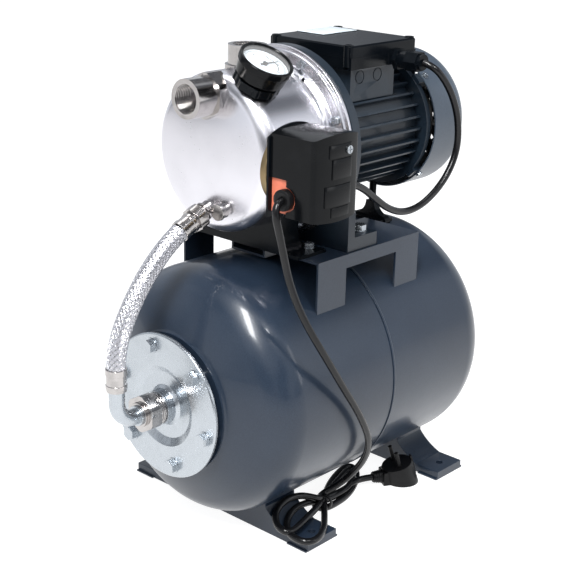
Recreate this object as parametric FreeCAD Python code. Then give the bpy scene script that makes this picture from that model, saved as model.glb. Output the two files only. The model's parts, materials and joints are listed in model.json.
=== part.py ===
import FreeCAD, Part
import math
import os

V = FreeCAD.Vector

# Shallow well jet pump set: a stainless jet pump and its motor stand on a
# platform that is welded on a horizontal pressure tank with two feet.
# Frame: +Z up, X along the tank (suction side at -X, fan at +X), -Y is the
# side of the pressure switch. The origin is the middle of the four foot
# holes, on the floor. All sizes are in millimetres.

# --- general clearances ---
FIT = 0.05            # radial play of a shaft in a bore
SEAT = 0.1            # play of a piece that sits in another one
GAP = 0.5             # air between pieces that only stand near each other

# --- tank ---
TANK_RADIUS = 137.0
TANK_AXIS_Z = 151.5
TANK_WALL = 1.5
TANK_HALF_STRAIGHT = 140.0
TANK_KNUCKLE = 45.0
TANK_CROWN = 230.0
SEAM_X = -8.5
SEAM_SLEEVE = 14.0
SEAM_RIM = 1.0
NECK_BORE_RADIUS = 48.0
NECK_HEIGHT = 3.6     # how far the neck stands out past the dome at its bore
LINER_LIP = 2.0               # rubber lip clamped between neck and flange
LINER_CLEARANCE = 16.0        # air space between the liner and the tank
VALVE_RADIUS = 5.0
VALVE_LENGTH = 17.0

# --- tank flange ---
FLANGE_RADIUS = 78.0
FLANGE_THICKNESS = 4.0
FLANGE_DISH_RADIUS = 44.0
FLANGE_DISH_DEPTH = 5.0
FLANGE_BOLT_CIRCLE = 64.4
FLANGE_BOLT_COUNT = 6
FLANGE_BOLT_FIRST_ANGLE = 104.2
SOCKET_RADIUS = 18.5
FLANGE_BOLT_FLATS = 13.4
FLANGE_BOLT_HEAD = 6.4
SOCKET_LENGTH = 13.0
THREAD_SHOWN = 8.0            # free length of the reducer's thread
INCH_THREAD_RADIUS = 15.15    # inside radius of a one inch pipe thread
INCH_THREAD_CREST = 16.4      # outside radius of its male thread
HEX_NUT_FLATS = 36.0
HEX_NUT_LENGTH = 14.0

# --- feet ---
FOOT_SPACING = 230.5
FOOT_WIDTH = 46.4
FOOT_HALF_LENGTH = 133.5
FOOT_SHEET = 2.5
FOOT_PAD_HEIGHT = 10.0
FOOT_PAD_INNER = 102.0
FOOT_PEAK_Z = 30.0
FOOT_LIP = 2.5
FOOT_COLLAR_WALL = 2.5        # drawn collar of a foot hole, down to the floor
FOOT_HOLE_SPACING = 237.0
FOOT_HOLE_RADIUS = 4.25
FOOT_SADDLE_HALF = 72.0

# --- platform ---
PLATFORM_X0 = -95.8
PLATFORM_X1 = 73.0
PLATFORM_HALF_WIDTH = 99.6
PLATFORM_TOP_Z = 301.3
PLATFORM_SHEET = 2.5
PLATFORM_SKIRT = 15.0
PLATFORM_LEGS = ((-95.8, -51.0), (33.0, 73.0))
CHANNEL_HALF_WIDTH = 22.0
CHANNEL_DEPTH = 9.0
BASE_SLOT_RADIUS = 4.5
SADDLE_X = (-104.0, -72.5)
SADDLE_EAR_END_X = -60.5
SADDLE_SLOT_X = -72.0
SADDLE_SLOT_Y = 65.0
SADDLE_SHEET = 3.5
SADDLE_HALF_ARC = 50.0
SADDLE_FLARE = 16.0
SADDLE_SEAT_RADIUS = 7.0

# --- pump ---
PUMP_Z = 406.0
BARREL_RADIUS = 82.0
CASING_WALL = 2.0
BARREL_FRONT_X = -136.5
BARREL_KNUCKLE = 17.0
BARREL_CROWN = 330.0
BARREL_ROOT_X = -71.0
RING_FACE_X = -57.0
RING_RIM_X = -53.0
CASING_BACK_X = -49.0
RING_RADIUS = 101.0
RING_BOLT_CIRCLE = 91.5
RING_BOLT_COUNT = 8
PORT_RADIUS = 20.0
SUCTION_Z = 466.0
SUCTION_FACE_X = -186.5
PORT_COLLAR_FLATS = 43.0
NIPPLE_RADIUS = 8.0
DRAIN_RADIUS = 7.0
DRAIN_Y = -22.0
DRAIN_Z = 352.0
DISCHARGE_X = -100.5
DISCHARGE_TOP_Z = 512.0
SEAL_PLATE = 2.0
IMPELLER_RADIUS = 55.0
IMPELLER_WIDTH = 9.0
IMPELLER_VANES = 6
DIFFUSER_WALL = 3.0

# --- motor ---
ADAPTER_DISC = 11.0
ADAPTER_BELL_END_X = 2.0
ADAPTER_FOOT_HEIGHT = 14.7
ADAPTER_FOOT_X = (-47.0, 1.0)
ADAPTER_FOOT_Y = (47.0, 97.0)
BASE_BOLT_X = -13.0
BASE_BOLT_Y = 84.0
SHAFT_RADIUS = 7.5
BEARING_RADIUS = 17.5
BEARING_SEAT = BEARING_RADIUS + FIT
BEARING_WIDTH = 11.0
FRAME_BODY_RADIUS = 58.0
FRAME_BORE_RADIUS = 54.0
FIN_RADIUS = 66.0
FIN_THICKNESS = 2.4
FIN_COUNT = 30
FRAME_END_X = 113.0
STATOR_X = (18.0, 96.0)
STATOR_BORE_RADIUS = 30.5
ROTOR_RADIUS = 30.0
SHIELD_END_X = 124.0
SHIELD_RADIUS = 73.0
COVER_RADIUS = 79.0
COVER_WALL = 1.5
COVER_START_X = 122.0
COVER_TANGENT_X = 166.0
COVER_KNUCKLE = 20.0
COVER_CROWN = 420.0
COVER_SCREW_ANGLES = (45, 135, 225, 315)
FAN_RADIUS = 66.0
FAN_X = (140.0, 160.0)
FAN_BLADES = 8

# --- terminal box ---
BOX_X = (-5.8, 104.5)
BOX_HALF_WIDTH = 58.2
BOX_BASE_Z = 481.5
BOX_SPLIT_Z = 494.6
BOX_TOP_Z = 506.8
BOX_WALL = 2.5
BOX_DRAFT = 0.8
LID_BOSS_RADIUS = 5.2
LID_BOSS_INSET = (3.6, 7.2)
LID_BOSS_RISE = 0.8
LID_SCREW_DEPTH = 4.0
LABEL_X = (35.5, 95.0)
LABEL_Y = (16.5, 56.0)
LABEL_HEIGHT = 0.5
GLAND_X = 71.5
GLAND_Z = 487.0
GLAND_END_Y = -94.0

# --- pressure gauge and filler plug, both on one radial line of the barrel ---
GAUGE_X = -130.5
GAUGE_TILT = 29.0             # degrees from upright, towards -Y
GAUGE_RADIUS = 26.3
BEZEL_RADIUS = 27.8
GAUGE_FACE = 115.5            # distance of the rim's front from the pump's axis
GAUGE_DEPTH = 21.0
STEM_RADIUS = 6.0
NEEDLE_GAP = 0.8
NEEDLE_REST = 202.0
PLUG_RADIUS = 24.0
PLUG_BASE = 82.6
PLUG_LOBES = 8

# --- pressure switch ---
SWITCH_X = (-166.7, -101.4)
SWITCH_Y = (-150.0, -96.5)
SWITCH_Z = (367.0, 445.5)
SWITCH_BULGE = 4.0
SWITCH_WALL = 2.0
SWITCH_PLATE = 2.5
SWITCH_MIDDLE_X = (SWITCH_X[0] + SWITCH_X[1]) / 2
SWITCH_SCREW = (-121.6, SWITCH_Y[0] - SWITCH_BULGE * 0.9 - FIT, 433.0)
SWITCH_NIPPLE_RADIUS = 6.5
PLUNGER_RADIUS = 4.0
DIAPHRAGM_RADIUS = 37.0
DIAPHRAGM_WIDTH = 8.5
PLUNGER_TRAVEL = 1.5
MAINS_GROMMET = (-115.7, 384.3)       # y, z on the switch's -X side
MOTOR_GROMMET = (-115.0, 386.0)       # y, z on the switch's +X side
GROMMET_RADIUS = 10.5
GROMMET_STAND = 5.0

# --- motor support ---
SUPPORT_X = 114.0
SUPPORT_RADIUS = 4.2
SUPPORT_BASE_HALF = 22.0

# --- hose from the casing to the tank ---
HOSE_DIAMETER = 20.0
ELBOW_X = -281.0
ELBOW_RADIUS = 8.2
ELBOW_BEND = 22.0
FERRULE_RADIUS = 11.0
FERRULE_LENGTH = 20.0
UNION_LENGTH = 11.0
LOWER_FERRULE_Z = (187.0, 211.0)
HOSE_TILT = 24.0
HOSE_POINTS = [
    (-281.0, 0, 211.0), (-280.8, 0, 223.0), (-276.5, 0, 239.5), (-268.0, 0, 258.0),
    (-256.0, 0, 277.0), (-241.5, 0, 295.5), (-226.0, 0, 311.0), (-210.4, 0, 324.0),
    (-195.0, 0, 333.3)]

# --- electric cables ---
CABLE_DIAMETER = 7.6
MOTOR_CABLE_POINTS = [
    (71.5, -94, 487), (74, -106, 484), (85, -113, 470), (101, -115, 448), (113, -115, 421),
    (116, -114, 391), (104, -113, 366), (82, -112, 347), (55, -111, 335), (26, -111, 334),
    (-2, -112, 344), (-26, -113, 360), (-50, -115, 376), (-74, -116, 385), (-96.0, -115, 386)]
MAINS_CABLE_POINTS = [
    (-172.1, -115.7, 384.3), (-180, -117, 382), (-183, -119, 372), (-180, -121.5, 355),
    (-176, -124, 333), (-172.5, -128, 308), (-166, -134, 283), (-156, -140.5, 258),
    (-142, -146, 233), (-124, -149, 205), (-107, -150, 180), (-89, -150, 156), (-72, -148, 132),
    (-57, -144, 110), (-45, -135, 88), (-37, -122, 66), (-34, -106, 45), (-40, -92, 28),
    (-52, -82, 19)]
PLUG_TAIL_POINTS = [
    (-46, -84, 12.5), (-31, -82.5, 10), (-15, -80.4, 8.2), (2, -77.2, 8.4), (17.3, -77.2, 8.6),
    (30.3, -84.7, 8.6)]
HANK_LEFT_OUTLINE = [
    (-66, -95), (-63, -86), (-76, -83), (-98, -84), (-122, -87), (-142, -95), (-155, -111),
    (-157, -132), (-148, -147), (-130, -147), (-108, -133), (-86, -115)]
HANK_RIGHT_OUTLINE = [
    (-66, -96), (-64, -76), (-44, -62), (-16, -50), (14, -44), (28, -54), (24, -74),
    (6, -84), (-12, -84), (-30, -82), (-44, -78), (-50, -92)]
HANK_THICKNESS = 13.0
HANK_TILT = 11.5
HANK_TILT_Y = -150.0
HANK_LEFT_Z = 11.2
HANK_RIGHT_Z = 0.4
HANK_RIGHT_HEIGHT = 14.5
TIE_AT = (-60.0, -85.0, 14.5)
PLUG_AT = (62.0, -103.0)
PLUG_TURN = 150.0             # direction of its strain relief
PLUG_LEAN = 17.0              # of the pins towards the strain relief
PLUG_BODY_RADIUS = 19.5
PLUG_BODY_HEIGHT = 24.0
PLUG_REACH = 36.6             # from its middle to the end of the strain relief
PLUG_PIN_RADIUS = 2.4
PLUG_PIN_LENGTH = 19.0
PLUG_PIN_SPACING = 19.0
PLUG_RELIEF_Z = 8.6

TANK_FRONT_TANGENT = SEAM_X - TANK_HALF_STRAIGHT
TANK_REAR_TANGENT = SEAM_X + TANK_HALF_STRAIGHT
TANK_TOP_Z = TANK_AXIS_Z + TANK_RADIUS


# ---------------------------------------------------------------- helpers

def aimed(shape, origin, axis):
    """Turn a shape's own +Z to axis and move its origin."""
    shape = shape.copy()
    shape.Placement = FreeCAD.Placement(V(*origin), FreeCAD.Rotation(V(0, 0, 1), V(*axis)))
    return shape


def rod(radius, origin, axis, length):
    return Part.makeCylinder(radius, length, V(*origin), V(*axis))


def rod_x(radius, x0, x1, y=0.0, z=0.0):
    return rod(radius, (x0, y, z), (1, 0, 0), x1 - x0)


def ring_x(outer, inner, x0, x1, y=0.0, z=0.0):
    return rod_x(outer, x0, x1, y, z).cut(rod_x(inner, x0 - 1, x1 + 1, y, z))


def block(x, y, z):
    """A box from its (low, high) span on each axis."""
    return Part.makeBox(x[1] - x[0], y[1] - y[0], z[1] - z[0], V(x[0], y[0], z[0]))


def hexagon(flats, origin, axis, length):
    corner = flats / math.sqrt(3)
    points = [V(corner * math.cos(math.radians(a)), corner * math.sin(math.radians(a)), 0)
              for a in range(0, 361, 60)]
    prism = Part.Face(Part.makePolygon(points)).extrude(V(0, 0, length))
    return aimed(prism, origin, axis)


def fused(shapes):
    whole = shapes[0]
    for shape in shapes[1:]:
        whole = whole.fuse(shape)
    return whole.removeSplitter()


def profile(stops):
    """Face in the XZ plane. A stop of four numbers is reached by an arc through its last two."""
    edges = []
    for before, stop in zip(stops[-1:] + stops[:-1], stops):
        start = V(before[0], 0, before[1])
        end = V(stop[0], 0, stop[1])
        if len(stop) == 4:
            edges.append(Part.Arc(start, V(stop[2], 0, stop[3]), end).toShape())
        else:
            edges.append(Part.LineSegment(start, end).toShape())
    return Part.Face(Part.Wire(edges))


def turned(stops, axis_z):
    """Solid of revolution about the X line at height axis_z, from (x, radius) stops."""
    solid = profile(stops).revolve(V(0, 0, 0), V(1, 0, 0), 360)
    solid.translate(V(0, 0, axis_z))
    return solid


def dome_stops(tangent_x, radius, knuckle, crown, outward):
    """Stops of a dished end, from its tangent line to its middle."""
    reach = crown - knuckle
    lean = math.asin((radius - knuckle) / reach)
    crown_x = tangent_x - outward * reach * math.cos(lean)

    def on_knuckle(angle):
        return (tangent_x + outward * knuckle * math.cos(angle),
                radius - knuckle + knuckle * math.sin(angle))

    def on_crown(angle):
        return (crown_x + outward * crown * math.cos(angle), crown * math.sin(angle))

    return [(tangent_x, radius),
            on_crown(lean) + on_knuckle((lean + math.pi / 2) / 2),
            on_crown(0) + on_crown(lean / 2)]


def vessel(open_x, tangent_x, radius, knuckle, crown, outward, axis_z):
    """Solid body with one dished end."""
    stops = [(open_x, 0), (open_x, radius)]
    return turned(stops + dome_stops(tangent_x, radius, knuckle, crown, outward), axis_z)


def dome_depth(radius, knuckle, crown):
    reach = crown - knuckle
    return crown - math.sqrt(reach ** 2 - (radius - knuckle) ** 2)


def dome_drop(crown, radius):
    """How far a crown has fallen back at this distance from its middle."""
    return crown - math.sqrt(crown ** 2 - radius ** 2)


def bent_path(points, bend=None):
    """Straight runs joined by tangent arcs, and the arcs' radii."""
    points = [V(*p) for p in points]
    edges = []
    radii = []
    at = points[0]
    for before, corner, after in zip(points, points[1:], points[2:]):
        into = corner - before
        out = after - corner
        half_turn = into.getAngle(out) / 2
        shorter = min(into.Length, out.Length)
        radius = bend or 0.45 * shorter / math.tan(half_turn)
        back = radius * math.tan(half_turn)
        into.normalize()
        out.normalize()
        start = corner - into * back
        end = corner + out * back
        inward = (out - into).normalize()
        middle = corner + inward * (radius / math.cos(half_turn) - radius)
        edges.append(Part.LineSegment(at, start).toShape())
        edges.append(Part.Arc(start, middle, end).toShape())
        radii.append(round(radius, 1))
        at = end
    edges.append(Part.LineSegment(at, points[-1]).toShape())
    return Part.Wire(edges), radii


def swept(path, points, radius):
    start = V(*points[0])
    direction = V(*points[1]) - start
    circle = Part.Wire(Part.Circle(start, direction, radius).toShape())
    return path.makePipeShell([circle], True, False)


def cord(name, points, diameter):
    path, radii = bent_path(points)
    print(name, "length", round(path.Length), "radii", radii)
    return swept(path, points, diameter / 2)


def hex_bolt(origin, outward, flats, head, washer, shank):
    """Hex head and washer on a face, with a shank going in from it."""
    inward = tuple(-a for a in outward)
    on_washer = tuple(o + a * washer for o, a in zip(origin, outward))
    pieces = [hexagon(flats, on_washer, outward, head),
              rod(flats * 0.62, origin, outward, washer),
              rod(flats * 0.3, origin, inward, shank)]
    return fused(pieces)


def around_x(radius, angle, axis_z, x=0.0):
    """Point on a circle about X; the angle runs from -Y up to +Z."""
    a = math.radians(angle)
    return (x, -radius * math.cos(a), axis_z + radius * math.sin(a))


def save(name, shape):
    shape.exportStep("parts/" + name + ".step")


# ---------------------------------------------------------------- tank

def tank_body(inset=0.0, outward=-1, open_x=SEAM_X):
    return vessel(open_x, SEAM_X + outward * TANK_HALF_STRAIGHT, TANK_RADIUS - inset,
                  TANK_KNUCKLE - inset, TANK_CROWN - inset, outward, TANK_AXIS_Z)


TANK_APEX_X = TANK_FRONT_TANGENT - dome_depth(TANK_RADIUS, TANK_KNUCKLE, TANK_CROWN)
TANK_REAR_APEX_X = TANK_REAR_TANGENT + dome_depth(TANK_RADIUS, TANK_KNUCKLE, TANK_CROWN)
NECK_FACE_X = TANK_APEX_X + dome_drop(TANK_CROWN, NECK_BORE_RADIUS) - NECK_HEIGHT + 2.0
FLANGE_BACK_X = NECK_FACE_X - LINER_LIP
FLANGE_FACE_X = FLANGE_BACK_X - FLANGE_THICKNESS


def make_tank():
    sleeve_radius = TANK_RADIUS - TANK_WALL
    neck_radius = FLANGE_RADIUS - 2.0
    front = tank_body().cut(tank_body(TANK_WALL))
    neck = rod_x(neck_radius, NECK_FACE_X, NECK_FACE_X + 30, z=TANK_AXIS_Z).cut(tank_body(TANK_WALL))
    joggle = ring_x(sleeve_radius, sleeve_radius - TANK_WALL, SEAM_X - 6, SEAM_X, z=TANK_AXIS_Z)
    sleeve = ring_x(sleeve_radius - SEAT, sleeve_radius - TANK_WALL, SEAM_X - 1,
                    SEAM_X + SEAM_SLEEVE, z=TANK_AXIS_Z)
    front = fused([front, neck, joggle, sleeve])
    front = front.cut(rod_x(NECK_BORE_RADIUS, TANK_APEX_X - 20, TANK_APEX_X + 30, z=TANK_AXIS_Z))
    for point in flange_bolt_points(NECK_FACE_X - 1):
        front = front.cut(rod(5.0, point, (1, 0, 0), 26))
    save("tank_front_shell", front)

    rear = tank_body(outward=1).cut(tank_body(TANK_WALL, outward=1))
    rim = ring_x(TANK_RADIUS + SEAM_RIM, TANK_RADIUS - 0.5, SEAM_X + FIT, SEAM_X + 3, z=TANK_AXIS_Z)
    rear = rear.cut(rod_x(VALVE_RADIUS, TANK_REAR_APEX_X - 10, TANK_REAR_APEX_X + 5, z=TANK_AXIS_Z))
    save("tank_rear_shell", fused([rear, rim]))


def flange_bolt_points(x):
    step = 360 / FLANGE_BOLT_COUNT
    return [around_x(FLANGE_BOLT_CIRCLE, FLANGE_BOLT_FIRST_ANGLE + step * i, TANK_AXIS_Z, x)
            for i in range(FLANGE_BOLT_COUNT)]


def make_flange():
    t = FLANGE_THICKNESS
    inner = FLANGE_DISH_RADIUS - 8
    dish_x = FLANGE_FACE_X + FLANGE_DISH_DEPTH
    stops = [(FLANGE_FACE_X + 1.2, FLANGE_RADIUS), (FLANGE_FACE_X, FLANGE_RADIUS - 1.2),
             (FLANGE_FACE_X, FLANGE_DISH_RADIUS), (dish_x, inner), (dish_x, SOCKET_RADIUS + 3.5),
             (dish_x - 3, SOCKET_RADIUS), (dish_x - SOCKET_LENGTH, SOCKET_RADIUS),
             (dish_x - SOCKET_LENGTH, INCH_THREAD_RADIUS + SEAT),
             (dish_x + t, INCH_THREAD_RADIUS + SEAT),
             (dish_x + t, inner), (FLANGE_BACK_X, FLANGE_DISH_RADIUS),
             (FLANGE_BACK_X, FLANGE_RADIUS)]
    flange = turned(stops, TANK_AXIS_Z)
    for point in flange_bolt_points(FLANGE_FACE_X - 1):
        flange = flange.cut(rod(4.6, point, (1, 0, 0), t + 3))
    save("tank_flange", flange)
    bolts = [hex_bolt(point, (-1, 0, 0), FLANGE_BOLT_FLATS, FLANGE_BOLT_HEAD, 0.8, 18.0)
             for point in flange_bolt_points(FLANGE_FACE_X)]
    save("flange_bolts", Part.makeCompound(bolts))

    socket_face = dish_x - SOCKET_LENGTH
    nut_x = socket_face - THREAD_SHOWN - HEX_NUT_LENGTH
    reducer = fused([hexagon(HEX_NUT_FLATS, (nut_x, 0, TANK_AXIS_Z), (1, 0, 0), HEX_NUT_LENGTH),
                     rod_x(INCH_THREAD_RADIUS, nut_x + 2, dish_x - 2, z=TANK_AXIS_Z),
                     rod_x(INCH_THREAD_CREST, nut_x + 2, socket_face - FIT, z=TANK_AXIS_Z),
                     rod_x(HEX_NUT_FLATS * 0.36, nut_x - 3.5, nut_x + 1, z=TANK_AXIS_Z)])
    reducer = reducer.common(rod_x(HEX_NUT_FLATS * 0.545, nut_x - 10, dish_x, z=TANK_AXIS_Z))
    save("hex_reducer", reducer.cut(rod_x(5.0, nut_x - 10, dish_x, z=TANK_AXIS_Z)))
    return nut_x - 3.5


def liner_form(inset):
    """Filled form of the rubber liner, from its neck to its closed end."""
    shoulder_x = TANK_FRONT_TANGENT - 46
    body = TANK_RADIUS - LINER_CLEARANCE - inset
    neck = NECK_BORE_RADIUS - GAP - inset
    rear_x = TANK_REAR_TANGENT - 6
    return turned([(NECK_FACE_X - 2 * LINER_LIP, 0), (NECK_FACE_X - 2 * LINER_LIP, neck),
                   (shoulder_x + inset, neck), (shoulder_x + 46, body - 3), (shoulder_x + 60, body),
                   (rear_x, body), (rear_x + 36 - inset, body - 44), (rear_x + 46 - inset, 0)],
                  TANK_AXIS_Z)


def make_bladder():
    """Rubber liner that hangs from the neck and holds the water."""
    lip = rod_x(NECK_BORE_RADIUS + 7, FLANGE_BACK_X + FIT, NECK_FACE_X - FIT, z=TANK_AXIS_Z)
    form = liner_form(0).cut(rod_x(TANK_RADIUS, TANK_APEX_X - 60, FLANGE_BACK_X + FIT, z=TANK_AXIS_Z))
    liner = lip.fuse(form).cut(liner_form(LINER_LIP))
    save("tank_bladder", liner.removeSplitter())


def make_air_valve():
    x = TANK_REAR_APEX_X
    z = TANK_AXIS_Z
    body = fused([rod_x(VALVE_RADIUS - SEAT, x - 8, x + VALVE_LENGTH, z=z),
                  hexagon(14, (x + 0.1, 0, z), (1, 0, 0), 4)])
    body = body.cut(rod_x(2.6, x - 9, x + VALVE_LENGTH + 1, z=z))
    save("air_valve", body)
    core = fused([rod_x(1.0, x - 4, x + VALVE_LENGTH - 0.5, z=z), rod_x(2.6 - FIT, x - 2, x + 6, z=z)])
    save("air_valve_core", core)
    cap = rod_x(8.0, x + 4.6, x + VALVE_LENGTH + 4, z=z)
    cap = cap.cut(rod_x(VALVE_RADIUS, x + 4, x + VALVE_LENGTH + 2, z=z))
    save("air_valve_cap", cap)


def foot_block(inset):
    """The foot's outer form, or with an inset the hollow under its sheet."""
    half = FOOT_HALF_LENGTH - inset
    pad = FOOT_PAD_HEIGHT - inset
    pad_inner = FOOT_PAD_INNER
    saddle = FOOT_SADDLE_HALF - inset * 0.7
    high = 46.0
    peak = FOOT_PEAK_Z - inset
    bend = ((pad_inner + saddle) / 2, pad + (peak - pad) * 0.36)
    stops = [(-half, -inset), (-half, pad), (-pad_inner, pad), (-saddle, peak, -bend[0], bend[1]),
             (-saddle, high), (saddle, high), (saddle, peak),
             (pad_inner, pad, bend[0], bend[1]), (half, pad), (half, -inset)]
    face = profile(stops)
    face.rotate(V(0, 0, 0), V(0, 0, 1), 90)
    width = FOOT_WIDTH / 2 - inset
    form = face.extrude(V(2 * width, 0, 0))
    form.translate(V(-width, 0, 0))
    return form.cut(rod_x(TANK_RADIUS + FIT + inset, -60, 60, z=TANK_AXIS_Z))


def make_feet():
    foot = foot_block(0).cut(foot_block(FOOT_SHEET))
    wide = FOOT_WIDTH / 2
    for side in (-1, 1):
        hole = (0, side * FOOT_HOLE_SPACING / 2, 0)
        lip_y = sorted((side * (FOOT_PAD_INNER + 4), side * FOOT_HALF_LENGTH))
        lip = block((-wide - FOOT_LIP, wide + FOOT_LIP), lip_y, (0, FOOT_SHEET * 0.8))
        lip = lip.cut(block((-wide + FOOT_SHEET, wide - FOOT_SHEET), lip_y, (-1, FOOT_SHEET)))
        collar = rod(FOOT_HOLE_RADIUS + FOOT_COLLAR_WALL, hole, (0, 0, 1), FOOT_PAD_HEIGHT - 1)
        foot = foot.fuse(lip).fuse(collar)
        foot = foot.cut(rod(FOOT_HOLE_RADIUS, along(hole, (0, 0, 1), -1), (0, 0, 1), 20))
    foot = foot.removeSplitter()
    feet = []
    for side in (-1, 1):
        placed = foot.copy()
        placed.translate(V(side * FOOT_SPACING / 2, 0, 0))
        feet.append(placed)
    save("tank_feet", Part.makeCompound(feet))


def make_platform():
    sheet = PLATFORM_SHEET
    top = PLATFORM_TOP_Z
    x = (PLATFORM_X0, PLATFORM_X1)
    wide = PLATFORM_HALF_WIDTH
    floor_z = top - CHANNEL_DEPTH - sheet
    pieces = [block(x, (side * wide if side < 0 else CHANNEL_HALF_WIDTH,
                        -CHANNEL_HALF_WIDTH if side < 0 else wide), (top - sheet, top))
              for side in (-1, 1)]
    pieces.append(block(x, (-CHANNEL_HALF_WIDTH - sheet, CHANNEL_HALF_WIDTH + sheet),
                        (floor_z, floor_z + sheet)))
    for side in (-1, 1):
        wall = sorted((side * CHANNEL_HALF_WIDTH, side * (CHANNEL_HALF_WIDTH + sheet)))
        pieces.append(block(x, wall, (floor_z, top)))
        skirt = sorted((side * (wide - sheet), side * wide))
        pieces.append(block(x, skirt, (top - PLATFORM_SKIRT, top)))
        for leg in PLATFORM_LEGS:
            pieces.append(block(leg, skirt, (TANK_AXIS_Z + 60, top)))
    platform = fused(pieces)
    platform = platform.cut(rod_x(TANK_RADIUS + FIT, x[0] - 1, x[1] + 1, z=TANK_AXIS_Z))
    for slot_x, slot_y in base_bolt_places():
        for side in (-1, 1):
            platform = platform.cut(slot_hole(slot_x, side * slot_y, top - sheet - 1, sheet + 2))
    save("platform", platform)


# ---------------------------------------------------------------- pump

def base_bolt_places():
    return [(BASE_BOLT_X, BASE_BOLT_Y), (SADDLE_SLOT_X, SADDLE_SLOT_Y)]


def slot_hole(x, y, z, height, half_length=8.0):
    """Slot along Y."""
    reach = half_length - BASE_SLOT_RADIUS
    return fused([rod(BASE_SLOT_RADIUS, (x, y - reach, z), (0, 0, 1), height),
                  rod(BASE_SLOT_RADIUS, (x, y + reach, z), (0, 0, 1), height),
                  block((x - BASE_SLOT_RADIUS, x + BASE_SLOT_RADIUS), (y - reach, y + reach),
                        (z, z + height))])


def casing_form():
    """Outer form of the stainless casing."""
    stops = [(CASING_BACK_X, 0), (CASING_BACK_X, RING_RADIUS - 0.8),
             (CASING_BACK_X - 0.8, RING_RADIUS), (RING_RIM_X + 0.8, RING_RADIUS),
             (RING_RIM_X, RING_RADIUS - 0.8), (RING_RIM_X, RING_RADIUS - 3.2),
             (RING_FACE_X + 1, RING_RADIUS - 4.0), (RING_FACE_X, RING_RADIUS - 5.0),
             (RING_FACE_X, BARREL_RADIUS + 4.2), (RING_FACE_X - 1.4, BARREL_RADIUS + 3.4),
             (RING_FACE_X - 6.5, BARREL_RADIUS + 3.0), (RING_FACE_X - 7.6, BARREL_RADIUS + 2.0),
             (BARREL_ROOT_X + 1.5, BARREL_RADIUS + 1.2), (BARREL_ROOT_X, BARREL_RADIUS)]
    stops += dome_stops(BARREL_FRONT_X, BARREL_RADIUS, BARREL_KNUCKLE, BARREL_CROWN, -1)
    return turned(stops, PUMP_Z)


def gauge_axis():
    tilt = math.radians(GAUGE_TILT)
    return (0, -math.sin(tilt), math.cos(tilt))


def on_gauge_line(distance):
    axis = gauge_axis()
    return (GAUGE_X, axis[1] * distance, PUMP_Z + axis[2] * distance)


def nipple_line():
    """Start and direction of the fitting that the upper hose end screws on."""
    tilt = math.radians(HOSE_TILT)
    return HOSE_POINTS[-1], (math.cos(tilt), 0, math.sin(tilt))


def along(origin, direction, distance):
    return tuple(o + d * distance for o, d in zip(origin, direction))


CASING_APEX_X = BARREL_FRONT_X - dome_depth(BARREL_RADIUS, BARREL_KNUCKLE, BARREL_CROWN)


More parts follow.
